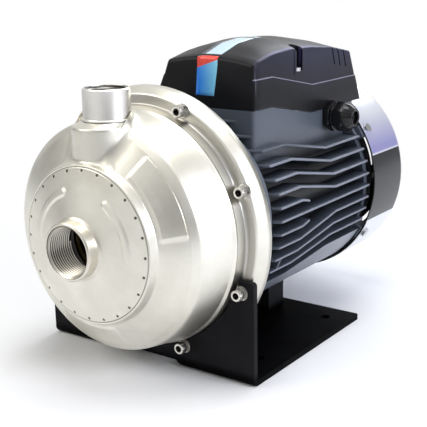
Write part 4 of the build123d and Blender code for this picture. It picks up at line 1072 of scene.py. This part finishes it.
def fin_height(row, along):
    """Middle height of a fin: outer rows step towards the shaft by one pitch on their way back."""
    step = fin_pitch if row > 0 else -fin_pitch
    if row == 0:
        return 0.0
    if abs(row) == 1:
        return row * fin_pitch - step / 4 * wave_share(along, wave_start + fin_pitch)
    return row * fin_pitch - step * wave_share(along)


def tip_radius(along):
    """Radius of the fins' tips: they taper off towards the bracket."""
    return along_table(((housing_front, 84.0), (housing_front + 6.0, fin_radius)), along)


def fin_ring(row, along, side, shrink=0.0):
    """Cross-section of a fin at a station: a tapered blade with a rounded tip."""
    middle = fin_height(row, along)
    tip = sqrt(max(tip_radius(along) ** 2 - middle**2, 1.0)) - shrink
    at_gland = hypot(along - gland_from_rim, middle - gland_height) < gland_clearing
    if side > 0 and (at_gland or row > 5):
        tip = min(tip, pedestal_side - 1.0)
    root = min(sqrt(max((barrel_radius - skin_depth) ** 2 - middle**2, 0.0)), tip - 2.0)
    nose = fin_tip_half - shrink * 0.3
    points = [(root, -fin_root_half)]
    points += [(tip - nose + nose * cos(radians(a)), nose * sin(radians(a))) for a in range(-90, 91, 30)]
    points.append((root, fin_root_half))
    return [(side * x, along, middle + rise) for x, rise in points]


def add_fins(bm):
    """Rows of fins on both sides; the rows beside the middle one stop short in the wave."""
    full = (44.0, 47.0, 50.0, 60.0, 70.0, 80.0, 84.5, 86.0, 87.5, 92.0, 100.0, 110.0, 120.0, 130.0, 140.0,
            144.5, 146.0, 147.5, 155.0, 160.0, 161.5, 163.0, 170.0, 178.0, 186.0, 193.0, 194.5, 196.0,
            204.0, 211.8)
    short = (44.0, 47.0, 50.0, 60.0, 70.0, 80.0, 86.0, 90.0, 94.0, 96.6)
    for row in fin_rows:
        places = short if abs(row) == 1 else full
        for side in (1, -1):
            rings = [fin_ring(row, along, side) for along in places]
            rings.append(fin_ring(row, places[-1] + 0.9, side, 0.7))
            loft(bm, rings)


def arc_points(radius, start, end, steps):
    """Points of an arc round the shaft between two angles in degrees."""
    angles = [radians(start + (end - start) * n / steps) for n in range(steps + 1)]
    return [(radius * cos(a), radius * sin(a)) for a in angles]


def add_foot_block(bm):
    """Solid block under the lowest fins, flat below."""
    inside = barrel_radius - skin_depth
    rings = []
    for along in (44.0, 47.0, 50.0, 65.0, 84.5, 87.5, 100.0, 115.0, 130.0, 144.5, 147.5, 170.0, 213.0):
        top = lowest_fin + fin_pitch * wave_share(along)
        radius = tip_radius(along)
        floor = max(underside, -radius + 0.6)
        right = arc_points(radius, degrees(atan2(top, sqrt(radius**2 - top**2))),
                           degrees(atan2(floor, sqrt(radius**2 - floor**2))), 8)
        left = [(-x, height) for x, height in reversed(right)]
        inner_start = degrees(atan2(top, -sqrt(inside**2 - top**2))) % 360
        under = arc_points(inside, inner_start, 540 - inner_start, 16)
        rings.append([(x, along, height) for x, height in right + left + under])
    loft(bm, rings)


def plan_loop(left, right, front, rear, corner, steps=5):
    """Rounded rectangle seen from above, as (x, along) points about 8 mm apart on its straight runs."""
    loop = []
    for x, along, start in ((right - corner, front + corner, -90), (right - corner, rear - corner, 0),
                            (left + corner, rear - corner, 90), (left + corner, front + corner, 180)):
        arc = arc_points(corner, start, start + 90, steps)
        loop += [(x + across, along + ahead) for across, ahead in arc]
    run = 8.0
    dense = []
    for near, far in zip(loop, loop[1:] + loop[:1]):
        pieces = max(1, int(hypot(far[0] - near[0], far[1] - near[1]) / run))
        for step in range(pieces):
            share = step / pieces
            dense.append((near[0] + (far[0] - near[0]) * share, near[1] + (far[1] - near[1]) * share))
    return dense


def rim_height(along):
    """Waved line where the terminal box meets its pedestal."""
    return along_table(((rim_wave_start, box_front_rim), (wave_end, box_rear_rim)), along)


def make_pedestal():
    """Hollow socket on the barrel that carries the terminal box, open for the gland."""
    bm = bmesh.new()
    rim_gap = 1.3
    outer = plan_loop(pedestal_left, pedestal_side, box_front, housing_rear, pedestal_wall)
    inner = []
    for x, along in outer:
        inward = pedestal_wall * min(1.0, abs(x - box_centre_x) / (box_half_width - 6))
        inner.append((x + inward if x < box_centre_x else x - inward,
                      min(max(along, box_front + pedestal_wall), housing_rear - pedestal_wall)))

    def ring(loop, top):
        inside = barrel_radius - 2.0
        return [(x, along, rim_height(along) - rim_gap if top else sqrt(max(inside**2 - x**2, 0.0)))
                for x, along in loop]

    loft(bm, [ring(inner, False), ring(outer, False), ring(outer, True), ring(inner, True),
              ring(inner, False)], capped=False)
    bmesh.ops.remove_doubles(bm, verts=bm.verts, dist=1e-3)
    hole = turn_on([(-6.0, 0.0), (-6.0, 6.6), (6.0, 6.6), (6.0, 0.0)],
                   (pedestal_side, gland_from_rim, gland_height), (1, 0, 0), 40)
    return taken_out(bm, hole)


def add_ribs(bm):
    """Upright ribs between two fins on each side: one high up at the rear, and one low down in front."""
    low, high = -lowest_fin - fin_pitch, -lowest_fin
    outer, inner = (sqrt(radius**2 - low**2) for radius in (fin_radius - 1.4, barrel_radius - 1.0))
    top = sqrt((fin_radius - 1.4) ** 2 - high**2)
    rear = ((inner, low), (outer, low), (top, high), (top - 22, high))
    front_low, front_high = -4 * fin_pitch, -3 * fin_pitch
    front = ((62.0, front_low), (81.8, front_low), (87.2, front_high), (69.0, front_high))
    for side in (1, -1):
        for outline, stations in ((rear, (207.5, 211.8)), (front, (59.5, 63.0))):
            loft(bm, [[(side * x, along, height) for x, height in outline] for along in stations])


def make_housing():
    bm = bmesh.new()
    turn(bm, [(housing_front, motor_bore), (housing_front, barrel_radius), (housing_rear, barrel_radius),
              (housing_rear, motor_bore)], 128, closed=True)
    add_fins(bm)
    add_foot_block(bm)
    add_ribs(bm)
    join(bm, make_pedestal())
    piece = add_piece(bm, "motor_housing_finned", fin_paint_with_painted_light, smooth=40)
    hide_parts("motor_housing")
    soften(piece, 0.35, 50)


make_housing()

# Terminal box


def ridge_at(along):
    """Height of the box's upper edges at a station, and how far its roof is crowned above them."""
    return [along_table([(row[0], row[column]) for row in box_ridge], along) for column in (1, 2)]


def box_chain(along, shrink=0.0, drop=0.0):
    """Outer line of the cover at a station, from the right rim over the top to the left rim."""
    rim = rim_height(along) - drop
    ridge, crown = ridge_at(along)
    ridge -= shrink
    right = box_right - shrink
    left = box_left + shrink
    left_top = box_left_top + shrink
    line_height = rim_height(along) + box_line_height
    arc_middle = (right + left_top) / 2
    arc_half = (right - left_top) / 2
    roof = []
    for n in range(crown_steps + 1):
        x = right + (left_top - right) * n / crown_steps
        across = (x - arc_middle) / arc_half
        roof.append((x - box_step * min(1.0, max(0.0, across)), ridge + crown * (1 - across**2)))
    lean = (ridge - line_height) / (ridge - box_lean_start)
    line_left = left_top + (left - left_top) * lean
    points = [(right, rim), (right, line_height - 0.9), (right - box_step, line_height + 0.1), *roof,
              (line_left + box_step, line_height + 0.1), (line_left - 0.3, line_height - 0.9),
              (left, box_lean_start), (left, min(rim, box_lean_start - 1.0))]
    chain = rounded(points, {3: 4.5, 3 + crown_steps: 4.5}, 6)
    return [(x, along, height) for x, height in chain]


def box_solid(shrink, drop):
    """Closed form of the cover, or of its hollow when shrunk by the wall and dropped past the rim."""
    bm = bmesh.new()
    edge = ((0.02, 2.6), (0.6, 1.3), (1.6, 0.5), (3.0, 0.0))
    chains = [box_chain(box_front + shrink + step, shrink + extra, drop) for step, extra in edge]
    chains += [box_chain(along, shrink, drop) for along in
               (60.0, 70.0, 78.0, 86.0, 94.0, 102.0, 110.0, 118.0, 127.0, 136.0, 146.0, 156.0, 168.0, 180.0,
                192.0, 204.0, 215.0, 228.0, 242.0)]
    loft(bm, chains)
    rear = Vector((0, box_rear_top[1] - box_rear_foot[1], box_rear_foot[0] - box_rear_top[0])).normalized()
    sliced(bm, Vector((0, *box_rear_foot)) - rear * shrink, rear)
    bmesh.ops.holes_fill(bm, edges=bm.edges)
    return bm


def vent_slot(number, along):
    """Body of a slanted slot through the box's upper right edge."""
    low, high = box_screw_height - 0.5 - 2.0 * number, 150.0
    side, past_side, roof_end = box_right - 2.4, 74.0, 54.0
    roof = ridge_at(along)[0] + 0.6
    corner = [(past_side, low), (side, low), (side, roof), (roof_end, roof + 1.2), (roof_end, high),
              (past_side, high)]
    bm = bmesh.new()
    loft(bm, [[(x, along + (high - height) * 0.36 + aside, height) for x, height in corner]
              for aside in (-6.2, -4.2)])
    return bm


def make_terminal_cover():
    bm = taken_out(box_solid(0.0, 0.0), box_solid(box_wall, 10.0))
    rear_well = bmesh.new()
    well_front, well_radius = housing_rear + 0.2, cover_radius + 1.0
    turn(rear_well, [(well_front, 0.0), (well_front, well_radius), (300.0, well_radius), (300.0, 0.0)], 128)
    bm = taken_out(bm, rear_well)
    for x, along in screw_places:
        pocket = [(0.0, 0.0), (0.0, screw_pocket), (60.0, screw_pocket), (60.0, 0.0)]
        bm = taken_out(bm, turn_on(pocket, (x, along, box_screw_height), (0, 0, 1), 40))
    for number, along in enumerate(slot_places):
        bm = taken_out(bm, vent_slot(number, along))
    for x, along in screw_places:
        walls = [(-2.0, screw_cup), (18.0, screw_cup), (18.0, screw_pocket), (0.0, screw_pocket), (0.0, 2.9),
                 (-2.0, 2.9)]
        cup = turn_on(walls, (x, along, box_screw_height), (0, 0, 1), 40, closed=True)
        sliced(cup, (box_right - 0.1, 0, 0), (1, 0, 0))
        bmesh.ops.holes_fill(cup, edges=cup.edges)
        join(bm, cup)
    bmesh.ops.remove_doubles(bm, verts=bm.verts, dist=1e-4)
    bmesh.ops.holes_fill(bm, edges=[edge for edge in bm.edges if edge.is_boundary])
    piece = add_piece(bm, "terminal_cover_moulded", box_plastic, smooth=32)
    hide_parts("terminal_cover")
    soften(piece, 0.5, 42)


def make_label():
    """Film strip that runs down the front of the box and back over its top."""
    columns = [film_centre - film_half + 2 * film_half * n / 6 for n in range(7)]
    middle = (box_right + box_left_top) / 2
    half_width = (box_right - box_left_top) / 2

    def crest(x, along):
        ridge, crown = ridge_at(along)
        return ridge + crown * (1 - ((x - middle) / half_width) ** 2)

    rows = []
    for height in (film_low, 105.0, 111.0, 117.0, 123.0, film_bend):
        lower = (film_bend - height) / (film_bend - film_low)
        rows.append([(x - lower * (2.2 + 2.0 * n / 6), box_front - 0.08, height)
                     for n, x in enumerate(columns)])
    for step in range(5):
        turned_to = radians(90 * step / 4)
        rows.append([(x, box_front + 3.0 - 3.08 * cos(turned_to), crest(x, 52.0) - 3.2 + 3.3 * sin(turned_to))
                     for x in columns])
    for along in (58.0, 64.0, 70.0, 76.0, 82.0, 88.0, 96.0, 104.0, 112.0, 120.0):
        rows.append([(x, along, crest(x, along) + 0.07) for x in columns])
    bm = bmesh.new()
    loft(bm, rows, closed=False, capped=False)
    piece = add_piece(bm, "front_film_strip", film, smooth=60)
    thicken(piece, 0.05, 0.0)


make_terminal_cover()
make_label()

# Cable gland


def ring_radius(size, sides, step, segments):
    """Radius at a step of a ring: round with 0 sides, a polygon above 0, a knurl of so many ridges below."""
    if sides > 0:
        part = 2 * pi / sides
        return size / cos((2 * pi * step / segments + part / 2) % part - part / 2)
    if sides < 0 and (step * -sides // segments) % 2:
        return size - 0.35
    return size


def shaped(rings, base, direction, segments=48):
    """Solid through rings of (distance, size, sides) along a direction."""
    bm = bmesh.new()
    angles = [2 * pi * step / segments for step in range(segments)]
    loops = []
    for distance_here, size, sides in rings:
        sizes = [ring_radius(size, sides, step, segments) for step in range(segments)]
        loops.append([(radius * cos(a), radius * sin(a), distance_here) for radius, a in zip(sizes, angles)])
    loft(bm, loops)
    stand(bm, base, direction)
    return bm


def make_gland():
    """Body with its hexagon, and the domed nut with twelve ribs."""
    base = (pedestal_side, gland_from_rim, gland_height)
    body = shaped([(-5.0, 5.8, 0), (1.6, 5.8, 0), (1.6, 12.0, 6), (2.2, 12.5, 6), (6.0, 12.5, 6),
                   (6.6, 11.9, 6), (6.6, 10.8, 0), (20.0, 10.8, 0), (20.2, 9.0, 0), (19.0, 6.4, 0)],
                  base, (1, 0, 0), 96)
    piece = add_piece(body, "gland_body_hexagon", gland_plastic, smooth=35)
    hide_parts("gland_body")
    soften(piece, 0.3, 40)
    nut = shaped([(7.2, 11.4, 0), (7.2, 12.9, 0), (7.8, 13.4, 0), (9.2, 13.4, 0), (9.6, 11.7, 6),
                  (10.2, 12.1, 6), (18.2, 12.1, 6), (19.0, 11.8, 6), (19.4, 12.6, 0), (21.5, 12.2, 0),
                  (24.5, 10.8, 0), (26.8, 9.0, 0), (28.3, 7.8, 0), (28.4, 7.2, 0), (27.9, 6.0, 0),
                  (24.0, 6.0, 0), (21.0, 4.0, 0)], base, (1, 0, 0), 96)
    ribs = 12
    for number in range(ribs):
        turned_by = Matrix.Rotation(2 * pi * (number + 0.5) / ribs, 4, "X")
        rib = bmesh.new()
        loft(rib, [[(x, -w, r - 1.6), (x, w, r - 1.6), (x, w * 0.6, r), (x, -w * 0.6, r)]
                   for x, w, r in ((19.2, 0.9, 13.2), (22.6, 0.8, 12.6), (26.3, 0.5, 10.0))])
        bmesh.ops.transform(rib, matrix=Matrix.Translation(base) @ turned_by, verts=rib.verts)
        join(nut, rib)
    piece = add_piece(nut, "gland_nut_domed", gland_plastic, smooth=35)
    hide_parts("gland_nut")
    soften(piece, 0.25, 40)


make_gland()

# Flange bolts


def bolt_place(angle, along):
    return (bolt_circle * cos(radians(angle)), along, bolt_circle * sin(radians(angle)))


def split_washer(number, angle, seat):
    """Spring washer: a flat coil of not quite one turn, each with its gap elsewhere."""
    inner, outer, thickness = 3.15, 5.3, 1.35
    steps = 36
    bm = bmesh.new()
    rings = []
    for step in range(steps + 1):
        share = step / steps
        turned_to = radians(8 + 344 * share + 40 * number)
        lift = 0.02 + 0.18 * share
        rings.append([(radius * cos(turned_to), -(distance_here + lift), radius * sin(turned_to))
                      for radius, distance_here in ((inner, 0.0), (outer, 0.0), (outer, thickness),
                                                    (inner, thickness))])
    loft(bm, rings)
    bmesh.ops.transform(bm, matrix=Matrix.Translation(bolt_place(angle, seat)), verts=bm.verts)
    return bm


def make_flange_bolts():
    """Socket head bolts with flat and split washers; the base's upright lies under the lower ones."""
    washer = 1.6
    bolts = bmesh.new()
    springs = bmesh.new()
    washers = bmesh.new()
    for number, angle in enumerate(bolt_angles):
        seat = upright_face if sin(radians(angle)) < 0 else flange_face
        join(bolts, shaped([(-17.0, 2.4, 0), (-16.4, 3.0, 0), (0.0, 3.0, 0), (0.0, 4.6, -24), (0.4, 5.0, -24),
                            (5.2, 5.0, -24), (6.0, 4.3, 0), (6.0, 2.9, 0), (5.7, 2.5, 6), (2.8, 2.5, 6)],
                           bolt_place(angle, seat - 2 * washer), (0, -1, 0), 48))
        join(washers, turn_on([(0.0, 3.15), (0.0, 6.0), (washer - 0.3, 6.0), (washer, 5.7), (washer, 3.15)],
                              bolt_place(angle, seat), (0, -1, 0), 40, closed=True))
        join(springs, split_washer(number, angle, seat - washer))
    for bm, name, node in ((bolts, "flange_bolts_socket_head", "flange_bolts"),
                           (washers, "flange_washers_flat", "flange_washers"),
                           (springs, "flange_washers_split", "flange_spring_washers")):
        piece = add_piece(bm, name, bolt_metal_shaded, smooth=35)
        # Faces turned to the front take the lighter copy, as a painted highlight.
        piece.data.materials.append(bolt_face_painted_highlight)
        for face in piece.data.polygons:
            if face.normal.y < -0.8:
                face.material_index = 1
        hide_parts(node)
        soften(piece, 0.12, 50)


make_flange_bolts()

# Fan cover


def grille_slot(radius, start, end):
    """Closed prism of a slot round the shaft, with pointed ends, through the cover's rear wall."""
    nose = grille_slot_half * 0.5

    def point_past(angle, way):
        a = radians(angle)
        return (radius * cos(a) - way * nose * sin(a), radius * sin(a) + way * nose * cos(a))

    loop = [*arc_points(radius + grille_slot_half, start, end, 8), point_past(end, 1),
            *arc_points(radius - grille_slot_half, end, start, 8), point_past(start, -1)]
    bm = bmesh.new()
    loft(bm, [[(x, along, height) for x, height in loop] for along in (cover_rear - 4.0, cover_rear + 2.0)])
    return bm


def grille_slots():
    slots = bmesh.new()
    spacing = 360 / grille_slots_per_row
    for row, radius in enumerate(grille_rows):
        half_rib = degrees((grille_rib / 2 + grille_slot_half * 0.5) / radius)
        for number in range(grille_slots_per_row):
            start = (number + 0.5 * (row % 2)) * spacing
            join(slots, grille_slot(radius, start + half_rib, start + spacing - half_rib))
    return slots


def make_fan_cover():
    """Pressed cup with a band set in on its right side and a slotted rear wall."""
    inside = cover_radius - cover_sheet
    inner_rear = cover_rear - cover_sheet
    outline = rounded([(cover_front + 0.4, inside), (cover_front, inside + cover_sheet / 2),
                       (cover_front + 0.4, cover_radius), (cover_rear, cover_radius), (cover_rear, cover_hub),
                       (cover_rear, 0.02), (inner_rear, 0.02), (inner_rear, cover_hub), (inner_rear, inside),
                       (cover_front + 0.4, inside)],
                      {1: 0.6, 3: cover_round, 8: cover_round - cover_sheet}, 8)
    bm = bmesh.new()
    turn(bm, outline[:-1], 144, closed=True)
    band_rear = cover_rear - 12.0
    for vert in bm.verts:
        reach = hypot(vert.co.x, vert.co.z)
        if reach > cover_radius - 8.0:
            angle = degrees(atan2(vert.co.z, vert.co.x))
            along_band = between(-vert.co.y, -band_rear - 4.0, 4.0 - band_rear)
            inset = 0.5 * window(angle, *cover_band, 1.0, 1.0) * along_band
            vert.co.x *= (reach - inset) / reach
            vert.co.z *= (reach - inset) / reach
    bm = taken_out(bm, grille_slots())
    piece = add_piece(bm, "fan_cover_pressed", silver_paint, smooth=30)
    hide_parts("fan_cover")


make_fan_cover()

# Parts kept from the solids, with their edges rounded
for node, name, finish, slot, width, body in (
    ("base_bracket", "base_bracket_folded", base_paint, "base_paint", 0.6, "frame"),
    ("motor_bracket", "motor_bracket_cast", bracket_paint, "black_casting", 0.5, "frame"),
    ("motor_support", "motor_support_cast", base_paint, "base_paint", 0.5, "frame"),
    ("rear_shield", "rear_shield_cast", motor_paint, "motor_casting", 0.4, "frame"),
    ("cooling_fan", "cooling_fan_moulded", fan_plastic, "fan_plastic", 0.3, "rotor"),
):
    carry(node, name, finish, width, body)


def make_support_sides():
    """Sheet that closes the support under the motor on both sides."""
    front, rear = support_front + 1.0, support_rear - 0.1
    outer, inner = support_side, support_side - support_wall
    bm = bmesh.new()
    for side in (-1, 1):
        plan = [(side * outer, front), (side * outer, rear), (side * inner, rear), (side * inner, front)]
        loft(bm, [[(x, along, height) for x, along in plan] for height in (base_top + 1.0, underside - 1.0)])
    piece = add_piece(bm, "motor_support_sides", base_paint)
    soften(piece, 0.3, 35)


make_support_sides()

# Stage


def shader_mix(tree, mask, first, second):
    node = tree.nodes.new("ShaderNodeMixShader")
    for index, value in enumerate((mask, first.outputs[0], second.outputs[0])):
        tree.links.new(value, node.inputs[index])
    return node


def make_floor():
    """Pale floor that runs out into a white surround."""
    floor_material, tree, shader = material("floor", 0.0, 0.9)
    shader.inputs["Base Color"].default_value = (0.93, 0.93, 0.93, 1)
    position, _ = object_place(tree)
    reach = tree.nodes.new("ShaderNodeVectorMath")
    reach.operation = "LENGTH"
    tree.links.new(position, reach.inputs[0])
    path = tree.nodes.new("ShaderNodeLightPath")
    outside = times(tree, range_node(tree, reach.outputs["Value"], 0.30, 0.55, 0.0, 1.0),
                    path.outputs["Is Camera Ray"])
    glow = tree.nodes.new("ShaderNodeEmission")
    mixed = shader_mix(tree, outside, shader, glow)
    tree.links.new(mixed.outputs[0], tree.nodes["Material Output"].inputs["Surface"])
    bm = bmesh.new()
    bmesh.ops.create_grid(bm, x_segments=1, y_segments=1, size=6.0)
    floor = linked(bm, "floor")
    floor.data.materials.append(floor_material)


def make_surround():
    """White behind the pump, a dim studio for soft light, and bright and dark bands for reflections."""
    world = bpy.data.worlds.new("studio")
    world.use_nodes = True
    bpy.context.scene.world = world
    tree = world.node_tree
    soft = tree.nodes["Background"]
    soft.inputs["Color"].default_value = (0.93, 0.95, 1.0, 1)
    soft.inputs["Strength"].default_value = 0.36
    white = tree.nodes.new("ShaderNodeBackground")
    white.inputs["Color"].default_value = (1, 1, 1, 1)
    white.inputs["Strength"].default_value = 1.0
    direction = tree.nodes.new("ShaderNodeTexCoord")
    apart = tree.nodes.new("ShaderNodeSeparateXYZ")
    tree.links.new(direction.outputs["Generated"], apart.inputs[0])
    turned_to = math_node(tree, "ARCTAN2", apart.outputs["Y"], apart.outputs["X"])
    wave = math_node(tree, "SINE", math_node(tree, "ADD", times(tree, turned_to, 3.0), 0.6))
    level = range_node(tree, wave, -0.8, 0.6, 0.42, 1.0)
    overhead = range_node(tree, apart.outputs["Z"], 0.25, 0.7, 0.0, 1.0)
    mirrored = tree.nodes.new("ShaderNodeBackground")
    tree.links.new(math_node(tree, "MAXIMUM", level, overhead), mirrored.inputs["Strength"])
    path = tree.nodes.new("ShaderNodeLightPath")
    shiny = math_node(tree, "MAXIMUM", path.outputs["Is Glossy Ray"], path.outputs["Is Transmission Ray"])
    lit = shader_mix(tree, shiny, soft, mirrored)
    seen = shader_mix(tree, path.outputs["Is Camera Ray"], lit, white)
    tree.links.new(seen.outputs[0], tree.nodes["World Output"].inputs["Surface"])


def make_lamps():
    """Round lamps that face the middle of the pump."""
    for name, place_at, size, power, colour in (
        ("key", (-1.1, -1.3, 1.5), 1.3, 14.0, (1.0, 0.97, 0.90)),
        ("side", (1.9, 0.1, 0.9), 1.0, 27.0, (0.84, 0.87, 1.0)),
        ("back", (-0.2, 1.7, 1.4), 1.2, 14.0, (0.90, 0.94, 1.0)),
        ("top", (0.1, 0.0, 1.9), 1.2, 16.0, (1.0, 1.0, 1.0)),
    ):
        data = bpy.data.lights.new(name, "AREA")
        data.shape = "DISK"
        data.size = size
        data.energy = power
        data.color = colour
        lamp = bpy.data.objects.new(name, data)
        bpy.context.scene.collection.objects.link(lamp)
        aim = Vector((0, 0, shaft_height * unit)) - Vector(place_at)
        lamp.matrix_world = Matrix.Translation(place_at) @ aim.to_track_quat("-Z", "Y").to_matrix().to_4x4()


make_floor()
make_surround()
make_lamps()
bpy.context.scene.view_settings.view_transform = "Standard"
